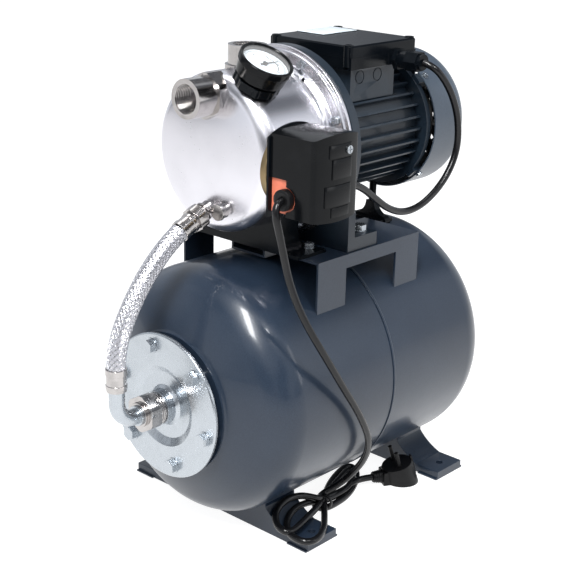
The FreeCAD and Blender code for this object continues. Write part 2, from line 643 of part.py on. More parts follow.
def make_casing():
    form = casing_form()
    cavity = vessel(CASING_BACK_X + 1, BARREL_FRONT_X, BARREL_RADIUS - CASING_WALL,
                    BARREL_KNUCKLE - CASING_WALL, BARREL_CROWN - CASING_WALL, -1, PUMP_Z)
    start, way = nipple_line()
    boss = rod(14.0, on_gauge_line(BARREL_RADIUS - 6), gauge_axis(), PLUG_BASE - BARREL_RADIUS + 6)
    casing = form.fuse(boss).cut(cavity)
    switch_boss = rod(9.0, (SWITCH_MIDDLE_X, -BARREL_RADIUS + 4, PUMP_Z), (0, -1, 0), 5.5)
    casing = casing.fuse(switch_boss.cut(cavity))
    cutters = [rod_x(PORT_RADIUS + FIT, SUCTION_FACE_X - 1, BARREL_FRONT_X + 1, z=SUCTION_Z),
               rod(PORT_RADIUS + FIT, (DISCHARGE_X, 0, PUMP_Z + BARREL_RADIUS - 25), (0, 0, 1), 60),
               rod(STEM_RADIUS + FIT, on_gauge_line(BARREL_RADIUS - 12), gauge_axis(), 30),
               rod(NIPPLE_RADIUS + FIT, along(start, way, 25), way, 40),
               rod(DRAIN_RADIUS + FIT, (CASING_APEX_X - 20, DRAIN_Y, DRAIN_Z), (1, 0, 0), 40),
               rod(SWITCH_NIPPLE_RADIUS + FIT, (SWITCH_MIDDLE_X, -BARREL_RADIUS + 10, PUMP_Z),
                   (0, -1, 0), 30)]
    for angle in ring_bolt_angles():
        cutters.append(rod(3.2, around_x(RING_BOLT_CIRCLE, angle, PUMP_Z, RING_FACE_X - 5),
                           (1, 0, 0), 20))
    for cutter in cutters:
        casing = casing.cut(cutter)
    save("pump_casing", casing)

    tube = ring_x(PORT_RADIUS, INCH_THREAD_RADIUS, SUCTION_FACE_X, BARREL_FRONT_X - 4, z=SUCTION_Z)
    collar_x = CASING_APEX_X - 0.5
    collar = hexagon(PORT_COLLAR_FLATS, (collar_x, 0, SUCTION_Z), (1, 0, 0), 20)
    collar = collar.common(rod_x(PORT_COLLAR_FLATS * 0.545, collar_x, collar_x + 20, z=SUCTION_Z))
    bore = rod_x(INCH_THREAD_RADIUS, collar_x - 1, collar_x + 30, z=SUCTION_Z)
    save("suction_port", fused([tube, collar.cut(form).cut(bore)]))

    low = PUMP_Z + BARREL_RADIUS - 10
    tube = rod(PORT_RADIUS, (DISCHARGE_X, 0, low), (0, 0, 1), DISCHARGE_TOP_Z - low)
    collar = rod(PORT_RADIUS + 3, (DISCHARGE_X, 0, low), (0, 0, 1), 14)
    port = fused([tube, collar.cut(form)])
    save("discharge_port", port.cut(rod(INCH_THREAD_RADIUS, (DISCHARGE_X, 0, low - 1), (0, 0, 1), 80)))

    shank = CASING_APEX_X + 4 - start[0] - FERRULE_LENGTH - UNION_LENGTH
    at = FERRULE_LENGTH + UNION_LENGTH
    nipple = [rod(NIPPLE_RADIUS, along(start, way, at + FIT), way, shank + 8)]
    for step in range(2):
        nipple.append(rod(NIPPLE_RADIUS + 2.2, along(start, way, at + FIT + 4.2 * step), way, 2.6))
    nipple = fused(nipple)
    save("casing_nipple", nipple.cut(rod(4.5, along(start, way, at - 1), way, 60)))
    drain_x = CASING_APEX_X - 1.5
    drain = fused([rod_x(DRAIN_RADIUS, drain_x, drain_x + 12, DRAIN_Y, DRAIN_Z),
                   rod_x(DRAIN_RADIUS + 1.6, drain_x - 2.5, drain_x + 0.5, DRAIN_Y, DRAIN_Z)])
    save("drain_plug", drain)


def ring_bolt_angles():
    step = 360 / RING_BOLT_COUNT
    return [step * (i + 0.5) for i in range(RING_BOLT_COUNT)]


def make_saddle():
    """Foot under the casing: an arched block with a flared ear on each side."""
    half_arc = SADDLE_HALF_ARC
    wide = SADDLE_SLOT_Y + 14
    base_z = PLATFORM_TOP_Z + SEAT
    ear_top = base_z + SADDLE_SHEET
    pieces = [block((SADDLE_X[0], SADDLE_EAR_END_X), (-wide, wide), (base_z, ear_top)),
              block(SADDLE_X, (-half_arc, half_arc), (base_z, PUMP_Z - 55))]
    for side in (-1, 1):
        span = sorted((side * (half_arc - 1), side * (half_arc + SADDLE_FLARE)))
        corner = block(SADDLE_X, span, (base_z, ear_top + SADDLE_FLARE))
        round_y = side * (half_arc + SADDLE_FLARE)
        pieces.append(corner.cut(rod_x(SADDLE_FLARE, SADDLE_X[0] - 1, SADDLE_X[1] + 1, round_y,
                                       ear_top + SADDLE_FLARE)))
    saddle = fused(pieces)
    saddle = saddle.cut(rod_x(BARREL_RADIUS + SEAT, SADDLE_X[0] - 1, SADDLE_X[1] + 1, z=PUMP_Z))
    wall = SADDLE_SHEET
    hollow = block((SADDLE_X[0] + wall, SADDLE_X[1] - wall), (-half_arc + wall, half_arc - wall),
                   (base_z - 1, PUMP_Z - 50))
    hollow = hollow.cut(rod_x(BARREL_RADIUS + SEAT + wall, SADDLE_X[0], SADDLE_X[1], z=PUMP_Z))
    saddle = saddle.cut(hollow)
    for side in (-1, 1):
        saddle = saddle.cut(slot_hole(SADDLE_SLOT_X, side * SADDLE_SLOT_Y, base_z - 1,
                                      SADDLE_FLARE + SADDLE_SHEET))
        saddle = saddle.cut(rod(SADDLE_SEAT_RADIUS, (SADDLE_SLOT_X, side * SADDLE_SLOT_Y, ear_top),
                                (0, 0, 1), SADDLE_FLARE))
    save("casing_saddle", saddle)


def make_wet_end():
    """Ejector, diffuser, impeller and seal behind the casing."""
    plate_x = (CASING_BACK_X + FIT, CASING_BACK_X + SEAL_PLATE)
    plate = ring_x(RING_RADIUS - 2, SHAFT_RADIUS + 6, plate_x[0], plate_x[1], z=PUMP_Z)
    for angle in ring_bolt_angles():
        plate = plate.cut(rod(3.2, around_x(RING_BOLT_CIRCLE, angle, PUMP_Z, -60), (1, 0, 0), 20))
    save("seal_plate", plate)

    back = plate_x[0] - GAP
    front = back - IMPELLER_WIDTH
    disc = 2.0
    impeller = [ring_x(IMPELLER_RADIUS, SHAFT_RADIUS, back - disc, back, z=PUMP_Z),
                ring_x(IMPELLER_RADIUS, 17, front, front + disc, z=PUMP_Z),
                ring_x(14, SHAFT_RADIUS, front, back, z=PUMP_Z),
                ring_x(20, 17, front - 8, front + disc, z=PUMP_Z)]
    for i in range(IMPELLER_VANES):
        vane = block((front + 0.5, back - 0.5), (-1, 1), (18.5, IMPELLER_RADIUS - 1))
        vane.rotate(V(0, 0, 18.5), V(1, 0, 0), 25)
        vane.rotate(V(0, 0, 0), V(1, 0, 0), 360 * i / IMPELLER_VANES)
        vane.translate(V(0, 0, PUMP_Z))
        impeller.append(vane.common(rod_x(IMPELLER_RADIUS, front, back, z=PUMP_Z)))
    save("impeller", fused(impeller))

    bowl = IMPELLER_RADIUS + 4
    wall = DIFFUSER_WALL
    deep = front - 3
    diffuser = turned([(back, bowl + wall), (back, bowl), (deep, bowl), (deep, 20.6),
                       (deep - 6, 20.6), (deep - 6, 15), (deep - 24, 15), (deep - 24, 15 + wall),
                       (deep - 9, 22 + wall), (deep - wall, 30), (deep - wall, bowl + wall)], PUMP_Z)
    save("diffuser", diffuser)
    tube_x = deep - 24
    nozzle_x = tube_x - 40
    venturi = turned([(tube_x - SEAT, 17), (tube_x - SEAT, 9), (tube_x - 30, 6.5), (tube_x - 38, 9),
                      (tube_x - 38, 13), (tube_x - 10, 13)], PUMP_Z)
    nozzle = turned([(nozzle_x, 6), (nozzle_x, 4), (nozzle_x - 14, 8), (nozzle_x - 14, 24),
                     (nozzle_x - 11, 24), (nozzle_x - 11, 10)], PUMP_Z)
    ejector = [venturi, nozzle]
    for angle in range(0, 360, 120):
        rib = block((nozzle_x - 12, tube_x - 28), (-1, 1), (10.5, 15))
        rib.rotate(V(0, 0, 0), V(1, 0, 0), angle)
        rib.translate(V(0, 0, PUMP_Z))
        ejector.append(rib)
    save("ejector", fused(ejector))
    seal = ring_x(SHAFT_RADIUS + 4.5, SHAFT_RADIUS, plate_x[0] + SEAT, plate_x[0] + 7, z=PUMP_Z)
    save("shaft_seal", seal)


def make_adapter():
    x0 = CASING_BACK_X + SEAL_PLATE + FIT
    x1 = x0 + ADAPTER_DISC
    bell = turned([(x0, RING_RADIUS - 0.4), (x1, RING_RADIUS - 0.4), (x1, 88),
                   (ADAPTER_BELL_END_X - 12, 70), (ADAPTER_BELL_END_X, 69),
                   (ADAPTER_BELL_END_X, FRAME_BORE_RADIUS + 3), (x1 + 8, 52), (x1 + 8, BEARING_SEAT),
                   (x1 + 6 - BEARING_WIDTH, BEARING_SEAT), (x1 + 6 - BEARING_WIDTH, SHAFT_RADIUS + 6),
                   (x0, SHAFT_RADIUS + 6)], PUMP_Z)
    foot_z = PLATFORM_TOP_Z + SEAT
    foot_y = ADAPTER_FOOT_Y
    pieces = [bell]
    web = block((x0, x1), (-foot_y[1], foot_y[1]), (foot_z, PUMP_Z - 60))
    pieces.append(web.cut(rod_x(70, x0 - 1, x1 + 1, z=PUMP_Z)))
    for side in (-1, 1):
        span = sorted((side * foot_y[0], side * foot_y[1]))
        pieces.append(block((x0, ADAPTER_FOOT_X[1]), span, (foot_z, foot_z + ADAPTER_FOOT_HEIGHT)))
        rib = sorted((side * (foot_y[0] + 2), side * (foot_y[0] + 8)))
        gusset = block((x1 - 2, x1 + 22), rib, (foot_z, PUMP_Z - 62))
        gusset = gusset.cut(rod_x(71, x1 - 4, x1 + 40, z=PUMP_Z))
        pieces.append(gusset)
    adapter = fused(pieces)
    for side in (-1, 1):
        adapter = adapter.cut(rod(BASE_SLOT_RADIUS, (BASE_BOLT_X, side * BASE_BOLT_Y, foot_z - 1),
                                  (0, 0, 1), ADAPTER_FOOT_HEIGHT + 3))
    for angle in ring_bolt_angles():
        adapter = adapter.cut(rod(3.0, around_x(RING_BOLT_CIRCLE, angle, PUMP_Z, x0 - 1),
                                  (1, 0, 0), ADAPTER_DISC - 1))
    save("motor_adapter", adapter)

    ring_bolts = [hex_bolt(around_x(RING_BOLT_CIRCLE, angle, PUMP_Z, RING_FACE_X), (-1, 0, 0),
                           8.0, 3.6, 1.0, 16.0) for angle in ring_bolt_angles()]
    save("ring_bolts", Part.makeCompound(ring_bolts))

    base_bolts = []
    seats = (foot_z + ADAPTER_FOOT_HEIGHT, foot_z + SADDLE_SHEET)
    for (x, y), seat, flats in zip(base_bolt_places(), seats, (12.6, 10.0)):
        for side in (-1, 1):
            length = seat - PLATFORM_TOP_Z + PLATFORM_SHEET + 3
            base_bolts.append(hex_bolt((x, side * y, seat), (0, 0, 1), flats, flats * 0.46, 1.6, length))
    save("base_bolts", Part.makeCompound(base_bolts))
    return x1 + 6 - BEARING_WIDTH


# ---------------------------------------------------------------- motor

def make_rotor(front_bearing_x):
    x0 = CASING_BACK_X + SEAL_PLATE - IMPELLER_WIDTH - 1.5
    shaft = rod_x(SHAFT_RADIUS - FIT, x0, FAN_X[1] + 3, z=PUMP_Z)
    save("shaft", shaft)
    core = ring_x(ROTOR_RADIUS, SHAFT_RADIUS, STATOR_X[0], STATOR_X[1], z=PUMP_Z)
    save("rotor_core", core)
    bearings = [ring_x(BEARING_RADIUS, SHAFT_RADIUS, x, x + BEARING_WIDTH, z=PUMP_Z)
                for x in (front_bearing_x, FRAME_END_X - 2)]
    save("ball_bearings", Part.makeCompound(bearings))

    hub = ring_x(16, SHAFT_RADIUS, FAN_X[0], FAN_X[1], z=PUMP_Z)
    disc = ring_x(FAN_RADIUS - 6, SHAFT_RADIUS, FAN_X[0], FAN_X[0] + 2.5, z=PUMP_Z)
    blades = []
    for i in range(FAN_BLADES):
        blade = block((FAN_X[0] + 1, FAN_X[1]), (-1.1, 1.1), (14, FAN_RADIUS))
        blade.rotate(V(0, 0, 0), V(1, 0, 0), 360 * i / FAN_BLADES)
        blade.translate(V(0, 0, PUMP_Z))
        blades.append(blade)
    save("cooling_fan", fused([hub, disc] + blades).cut(rod_x(SHAFT_RADIUS, 130, 170, z=PUMP_Z)))


def make_motor():
    x0 = ADAPTER_BELL_END_X + FIT
    body = ring_x(FRAME_BODY_RADIUS, FRAME_BORE_RADIUS, x0, FRAME_END_X, z=PUMP_Z)
    fins = []
    for i in range(FIN_COUNT):
        angle = 360 * (i + 0.5) / FIN_COUNT
        fin = block((x0 + 2, FRAME_END_X - 1), (-FIN_THICKNESS / 2, FIN_THICKNESS / 2),
                    (FRAME_BODY_RADIUS - 1, FIN_RADIUS))
        fin.rotate(V(0, 0, 0), V(1, 0, 0), angle)
        fin.translate(V(0, 0, PUMP_Z))
        fins.append(fin)
    pad = block((x0 + 2, 78), (-50, 50), (PUMP_Z + 40, BOX_BASE_Z))
    pad = pad.cut(rod_x(FRAME_BODY_RADIUS - 2, x0, 90, z=PUMP_Z))
    rear_pad = block((78, 100), (-26, 26), (PUMP_Z + 50, BOX_BASE_Z))
    rear_pad = rear_pad.cut(rod_x(FRAME_BODY_RADIUS - 2, 70, 110, z=PUMP_Z))
    frame = fused([body] + fins + [pad, rear_pad])
    frame = frame.cut(rod(11, (40, 0, PUMP_Z + 50), (0, 0, 1), 40))
    for x in (19.2, 49.0):
        knock_out = ring_y(7.4, 6.2, x, PUMP_Z + 65.6, -51, 1.0)
        frame = frame.cut(knock_out)
    save("motor_frame", frame)

    core = ring_x(FRAME_BORE_RADIUS - SEAT, STATOR_BORE_RADIUS, STATOR_X[0], STATOR_X[1], z=PUMP_Z)
    coils = [ring_x(50, 34, STATOR_X[0] - 15, STATOR_X[0] - FIT, z=PUMP_Z),
             ring_x(50, 34, STATOR_X[1] + FIT, STATOR_X[1] + 13, z=PUMP_Z)]
    save("wound_stator", Part.makeCompound([core] + coils))

    start = FRAME_END_X + FIT
    shield = turned([(start, SHIELD_RADIUS), (SHIELD_END_X - 4, SHIELD_RADIUS), (SHIELD_END_X, 62),
                     (SHIELD_END_X, SHAFT_RADIUS + 1.5), (start + BEARING_WIDTH - 2, SHAFT_RADIUS + 1.5),
                     (start + BEARING_WIDTH - 2, BEARING_SEAT), (start - 4, BEARING_SEAT),
                     (start - 4, BEARING_SEAT + 4), (start, BEARING_SEAT + 6)], PUMP_Z)
    lugs = []
    for angle in COVER_SCREW_ANGLES:
        lug = block((COVER_START_X - 8, COVER_START_X + 9), (-6, 6),
                    (FRAME_BODY_RADIUS - 3, COVER_RADIUS - COVER_WALL - FIT))
        lug.rotate(V(0, 0, 0), V(1, 0, 0), angle)
        lug.translate(V(0, 0, PUMP_Z))
        lugs.append(lug.common(rod_x(COVER_RADIUS - COVER_WALL - FIT, 100, 140, z=PUMP_Z)))
    shield = fused([shield] + lugs)
    for angle in COVER_SCREW_ANGLES:
        point = around_x(FRAME_BODY_RADIUS, angle, PUMP_Z, COVER_START_X + 4.5)
        shield = shield.cut(rod(2.0, point, radial(angle), 40))
    save("rear_shield", shield)


def radial(angle):
    a = math.radians(angle)
    return (0, -math.cos(a), math.sin(a))


def ring_y(outer, inner, x, z, y, depth):
    """Shallow ring cut into a face that looks to -Y."""
    ring = rod(outer, (x, y, z), (0, 1, 0), depth + 1)
    return ring.cut(rod(inner, (x, y - 1, z), (0, 1, 0), depth + 3))


def make_fan_cover():
    outer = vessel(COVER_START_X, COVER_TANGENT_X, COVER_RADIUS, COVER_KNUCKLE, COVER_CROWN, 1, PUMP_Z)
    inner = vessel(COVER_START_X - 1, COVER_TANGENT_X, COVER_RADIUS - COVER_WALL,
                   COVER_KNUCKLE - COVER_WALL, COVER_CROWN - COVER_WALL, 1, PUMP_Z)
    cover = outer.cut(inner)
    slots = []
    for ring, (radius, count) in enumerate(((22, 8), (35, 12), (48, 16), (60, 20))):
        for i in range(count):
            slot = block((COVER_TANGENT_X, COVER_TANGENT_X + 40), (-2.3, 2.3), (radius - 5, radius + 5))
            slot.rotate(V(0, 0, 0), V(1, 0, 0), 360 * (i + 0.5 * (ring % 2)) / count)
            slots.append(slot)
    grille = Part.makeCompound(slots)
    grille.translate(V(0, 0, PUMP_Z))
    cover = cover.cut(grille)
    for angle in COVER_SCREW_ANGLES:
        point = around_x(COVER_RADIUS - 5, angle, PUMP_Z, COVER_START_X + 4.5)
        cover = cover.cut(rod(2.2, point, radial(angle), 12))
    save("fan_cover", cover)


def pan_screw(origin, outward, radius=3.6, head=2.2, shank=8.0):
    inward = tuple(-a for a in outward)
    screw = fused([rod(radius, origin, outward, head), rod(radius * 0.5, origin, inward, shank)])
    for across, long in ((0.5, radius * 0.8), (radius * 0.8, 0.5)):
        slot = Part.makeBox(2 * across, 2 * long, 1.2, V(-across, -long, head - 1.0))
        screw = screw.cut(aimed(slot, origin, outward))
    return screw


def make_screws():
    screws = []
    for angle in COVER_SCREW_ANGLES:
        point = around_x(COVER_RADIUS + FIT, angle, PUMP_Z, COVER_START_X + 4.5)
        screws.append(pan_screw(point, radial(angle)))
    for x, y in lid_screw_places():
        screws.append(pan_screw((x, y, BOX_TOP_Z - LID_SCREW_DEPTH + FIT), (0, 0, 1), 3.2, 2.0, 12.0))
    screws.append(pan_screw(SWITCH_SCREW, (0, -1, 0), 4.0, 2.6, 14.0))
    save("case_screws", Part.makeCompound(screws))


def lid_screw_places():
    return [(x, y) for x in (BOX_X[0] + LID_BOSS_INSET[0], BOX_X[1] - LID_BOSS_INSET[0])
            for y in (-BOX_HALF_WIDTH + LID_BOSS_INSET[1], BOX_HALF_WIDTH - LID_BOSS_INSET[1])]


def tapered_box(x, y, z, draft):
    """Box that is narrower by draft at its lower face."""
    low = [V(x[0] + draft, y[0] + draft, z[0]), V(x[1] - draft, y[0] + draft, z[0]),
           V(x[1] - draft, y[1] - draft, z[0]), V(x[0] + draft, y[1] - draft, z[0])]
    high = [V(x[0], y[0], z[1]), V(x[1], y[0], z[1]), V(x[1], y[1], z[1]), V(x[0], y[1], z[1])]
    rings = [Part.makePolygon(points + points[:1]) for points in (low, high)]
    return Part.makeLoft(rings, True)


def make_terminal_box():
    x = BOX_X
    y = (-BOX_HALF_WIDTH, BOX_HALF_WIDTH)
    w = BOX_WALL
    base = tapered_box(x, y, (BOX_BASE_Z + SEAT, BOX_SPLIT_Z), BOX_DRAFT)
    hollow = tapered_box((x[0] + w, x[1] - w), (y[0] + w, y[1] - w), (BOX_BASE_Z + w, BOX_SPLIT_Z + 1),
                         BOX_DRAFT)
    base = base.cut(hollow)
    for sx, sy in lid_screw_places():
        base = base.fuse(rod(LID_BOSS_RADIUS, (sx, sy, BOX_BASE_Z + 3), (0, 0, 1),
                             BOX_SPLIT_Z - BOX_BASE_Z - 3))
    base = base.cut(rod(11, (40, 0, BOX_BASE_Z - 5), (0, 0, 1), 12))
    gland_seat = block((GLAND_X - 15, GLAND_X + 15), (y[0] - 0.4, y[0] + 8), (BOX_BASE_Z + SEAT, BOX_SPLIT_Z))
    base = base.fuse(gland_seat)
    base = base.cut(rod(6.05, (GLAND_X, y[0] - 5, GLAND_Z), (0, 1, 0), 20))
    for sx, sy in lid_screw_places():
        base = base.cut(rod(1.7, (sx, sy, BOX_BASE_Z + 4), (0, 0, 1), 30))
    save("terminal_box", base.removeSplitter())

    lid = block(x, y, (BOX_SPLIT_Z + SEAT, BOX_TOP_Z))
    lid = lid.makeFillet(3.0, [edge for edge in lid.Edges if is_upright(edge)])
    lid = lid.makeChamfer(1.6, [edge for edge in lid.Edges
                                if edge.BoundBox.ZMin > BOX_TOP_Z - 0.1])
    lid = lid.cut(block((x[0] + w, x[1] - w), (y[0] + w, y[1] - w), (BOX_SPLIT_Z, BOX_TOP_Z - w)))
    for sx, sy in lid_screw_places():
        lid = lid.fuse(rod(LID_BOSS_RADIUS, (sx, sy, BOX_SPLIT_Z + SEAT), (0, 0, 1),
                           BOX_TOP_Z + LID_BOSS_RISE - BOX_SPLIT_Z - SEAT))
    for sx, sy in lid_screw_places():
        lid = lid.cut(rod(3.7, (sx, sy, BOX_TOP_Z - LID_SCREW_DEPTH), (0, 0, 1), 10))
        lid = lid.cut(rod(1.7, (sx, sy, BOX_SPLIT_Z - 1), (0, 0, 1), 30))
    plate = block(LABEL_X, LABEL_Y, (BOX_TOP_Z - 0.2, BOX_TOP_Z + LABEL_HEIGHT))
    save("terminal_lid", lid.fuse(plate))

    capacitor = rod(10.5, (76, -20, 494.2), (0, 1, 0), 60)
    save("capacitor", capacitor.common(block((50, 100), (-25, 50), (BOX_BASE_Z + 4, BOX_TOP_Z - 3))))

    end = GLAND_END_Y
    gland = fused([hexagon(21, (GLAND_X, y[0] - 0.5, GLAND_Z), (0, -1, 0), 6),
                   rod(9.5, (GLAND_X, y[0] - 6, GLAND_Z), (0, -1, 0), 14),
                   hexagon(20, (GLAND_X, y[0] - 16, GLAND_Z), (0, -1, 0), -end + y[0] - 20),
                   rod(8.6, (GLAND_X, end + 5, GLAND_Z), (0, -1, 0), 5),
                   rod(6.0, (GLAND_X, y[0] + 8, GLAND_Z), (0, -1, 0), 10)])
    save("cable_gland", gland)


def is_upright(edge):
    box = edge.BoundBox
    return box.ZLength > 5 and box.XLength < 0.01 and box.YLength < 0.01


# ---------------------------------------------------------------- gauge

def make_gauge():
    axis = gauge_axis()
    back = GAUGE_FACE - GAUGE_DEPTH
    face = GAUGE_FACE - 2.0
    dial_at = face - 6.0
    wall = 1.8
    case = fused([rod(GAUGE_RADIUS - 5, on_gauge_line(back - 3), axis, 4),
                  rod(GAUGE_RADIUS, on_gauge_line(back), axis, GAUGE_DEPTH - 3),
                  rod(BEZEL_RADIUS, on_gauge_line(GAUGE_FACE - 8), axis, 8),
                  rod(STEM_RADIUS, on_gauge_line(BARREL_RADIUS - 8), axis, back - BARREL_RADIUS + 8)])
    case = case.cut(rod(GAUGE_RADIUS - wall, on_gauge_line(back + wall), axis, GAUGE_DEPTH))
    case = case.cut(rod(2.0, on_gauge_line(BARREL_RADIUS - 10), axis, back - BARREL_RADIUS + 8))
    save("gauge_case", case)
    dial = rod(GAUGE_RADIUS - wall - SEAT, on_gauge_line(dial_at), axis, 0.8)
    save("gauge_dial", dial.cut(rod(2.2, on_gauge_line(dial_at - 1), axis, 3)))
    lens = rod(GAUGE_RADIUS - wall - SEAT, on_gauge_line(face - 1.6), axis, 1.6)
    save("gauge_lens", lens)

    needle_at = dial_at + 0.8 + NEEDLE_GAP
    tail = 6.0
    tip = 18.0
    blade = Part.Face(Part.makePolygon([V(-tail, -1.1, 0), V(tip, -0.25, 0), V(tip, 0.25, 0),
                                        V(-tail, 1.1, 0), V(-tail, -1.1, 0)])).extrude(V(0, 0, 0.6))
    needle = fused([blade, Part.makeCylinder(2.6, 1.4, V(0, 0, 0)),
                    Part.makeCylinder(1.0, 6.0, V(0, 0, -5.5))])
    needle.rotate(V(0, 0, 0), V(0, 0, 1), NEEDLE_REST)
    save("gauge_needle", aimed(needle, on_gauge_line(needle_at), axis))

    height = back - 3 - PLUG_BASE - SEAT
    knob = Part.makeCylinder(PLUG_RADIUS - 1.5, height, V(0, 0, 0))
    for i in range(PLUG_LOBES):
        turn = math.radians(360 * i / PLUG_LOBES)
        at = V((PLUG_RADIUS - 4.5) * math.cos(turn), (PLUG_RADIUS - 4.5) * math.sin(turn), 0)
        knob = knob.fuse(Part.makeCylinder(4.8, height, at))
    knob = knob.cut(Part.makeCylinder(STEM_RADIUS + FIT, height + 2, V(0, 0, -1)))
    save("filler_plug", aimed(knob.removeSplitter(), on_gauge_line(PLUG_BASE + SEAT), axis))


# ---------------------------------------------------------------- pressure switch

def cover_form(inset):
    """Switch cover with crowned top and bottom edges and a bowed outer face."""
    x0 = SWITCH_X[0] + inset
    x1 = SWITCH_X[1] - inset
    z0 = SWITCH_Z[0] + inset
    z1 = SWITCH_Z[1] - inset
    middle = (x0 + x1) / 2
    face = profile([(x0, z0, middle, z0 - SWITCH_BULGE * 0.6), (x0, z1),
                    (x1, z1, middle, z1 + SWITCH_BULGE), (x1, z0)])
    depth = SWITCH_Y[1] - SWITCH_Y[0] + SWITCH_BULGE
    form = face.extrude(V(0, depth, 0))
    form.translate(V(0, SWITCH_Y[0] - SWITCH_BULGE + inset, 0))
    half = (SWITCH_X[1] - SWITCH_X[0]) / 2
    bow_radius = (half ** 2 + SWITCH_BULGE ** 2) / (2 * SWITCH_BULGE)
    y = SWITCH_Y[0] - SWITCH_BULGE + bow_radius
    roll = rod(bow_radius - inset, (middle, y, z0 - 20), (0, 0, 1), z1 - z0 + 40)
    return form.common(roll)


def make_switch():
    x0, x1 = SWITCH_X
    y0, y1 = SWITCH_Y
    middle = SWITCH_MIDDLE_X
    low = SWITCH_Z[0]
    form = cover_form(0)
    soft = [edge for edge in form.Edges if edge.BoundBox.ZLength > 60 and edge.BoundBox.YMax < y1 - 20]
    form = form.makeFillet(5.0, soft)
    cover = form.cut(cover_form(SWITCH_WALL))
    cover = cover.common(block((x0 - 9, x1 + 9), (y0 - 20, y1), (low - 20, SWITCH_Z[1] + 20)))
    for x, (gy, gz) in ((x0 - 5, MAINS_GROMMET), (x1 - 10, MOTOR_GROMMET)):
        cover = cover.cut(block((x, x + 15), (gy - 1, y1 + 1), (low - 10, gz + 19)))
        cover = cover.cut(rod(GROMMET_RADIUS + 2, (x, gy, gz), (1, 0, 0), 15))
    cover = cover.cut(rod(2.3, (SWITCH_SCREW[0], y0 - 10, SWITCH_SCREW[2]), (0, 1, 0), 30))
    solids = cover.Solids
    save("switch_cover", max(solids, key=lambda solid: solid.Volume))

    plate = profile([(x0 - 3, low - 3), (x0 - 3, SWITCH_Z[1] - 4),
                     (x1 + 3, SWITCH_Z[1] - 4, middle, SWITCH_Z[1] + 6), (x1 + 3, low - 3)])
    plate = plate.extrude(V(0, SWITCH_PLATE, 0))
    plate.translate(V(0, y1 + SEAT, 0))
    passage = rod(PLUNGER_RADIUS + FIT, (middle, y1 - 4, PUMP_Z), (0, 1, 0), 12)
    save("switch_plate", plate.cut(passage))
    inside = SWITCH_WALL + SEAT
    floor = block((x0 + inside, x1 - inside), (MAINS_GROMMET[0] - 14, y1), (low + 2.5, low + 5.5))
    back = block((x0 + inside, x1 - inside), (y1 - 2.5, y1), (low + 2.5, PUMP_Z + 8))
    sides = []
    for x, (gy, gz) in ((x0 + inside, MAINS_GROMMET), (x1 - inside - 3, MOTOR_GROMMET)):
        sides.append(block((x, x + 3), (gy - 14, y1), (low + 2.5, gz + 19)))
    base = fused([floor, back] + sides)
    for x, (gy, gz) in ((x0, MAINS_GROMMET), (x1 - 10, MOTOR_GROMMET)):
        base = base.cut(rod(GROMMET_RADIUS - 2.5, (x - 2, gy, gz), (1, 0, 0), 14))
    save("switch_base", base.cut(passage))

    grommets = []
    for face_x, way, (gy, gz) in ((x0, -1, MAINS_GROMMET), (x1, 1, MOTOR_GROMMET)):
        start = face_x - way * (SWITCH_WALL + SEAT)
        body = [rod(GROMMET_RADIUS, (start, gy, gz), (way, 0, 0), GROMMET_STAND + SWITCH_WALL + SEAT),
                rod(GROMMET_RADIUS - 2.6, (start - way * 6, gy, gz), (way, 0, 0), 8)]
        body = fused(body)
        hole = rod(CABLE_DIAMETER / 2 + 1.2, (face_x + way * (GROMMET_STAND - 3), gy, gz), (way, 0, 0), 10)
        grommets.append(body.cut(hole) if way < 0 else body)
    save("switch_grommets", Part.makeCompound(grommets))

    housing_y = y1 + SWITCH_PLATE + 2 * SEAT
    housing = rod(DIAPHRAGM_RADIUS, (middle, housing_y, PUMP_Z), (0, 1, 0), DIAPHRAGM_WIDTH)
    housing = housing.makeFillet(2.2, housing.Edges)
    nipple_end = -BARREL_RADIUS + 6
    housing = housing.fuse(rod(SWITCH_NIPPLE_RADIUS, (middle, housing_y + 3, PUMP_Z), (0, 1, 0),
                               nipple_end - housing_y - 3))
    housing = housing.fuse(hexagon(17, (middle, housing_y + DIAPHRAGM_WIDTH - 1, PUMP_Z), (0, 1, 0), 2.0))
    housing = housing.cut(rod(28, (middle, housing_y - 1, PUMP_Z), (0, 1, 0), 5))
    housing = housing.cut(rod(3, (middle, housing_y, PUMP_Z), (0, 1, 0), 40))
    save("diaphragm_housing", housing)

    rest_y = y1 - 8
    plunger = fused([rod(PLUNGER_RADIUS, (middle, rest_y, PUMP_Z), (0, 1, 0), housing_y + 1.9 - rest_y),
                     rod(20, (middle, housing_y + 1.8, PUMP_Z), (0, 1, 0), 1.2)])
    save("switch_plunger", plunger)
    pivot_z = PUMP_Z - 20
    lever = fused([block((middle - 6, middle + 6), (rest_y - 3.4, rest_y - 0.4), (pivot_z, PUMP_Z + 16)),
                   rod(3, (middle - 8, rest_y - 1.9, pivot_z), (1, 0, 0), 16)])
    save("contact_lever", lever)
    print("plunger axis", middle, rest_y, PUMP_Z, "lever pivot", rest_y - 1.9, pivot_z)


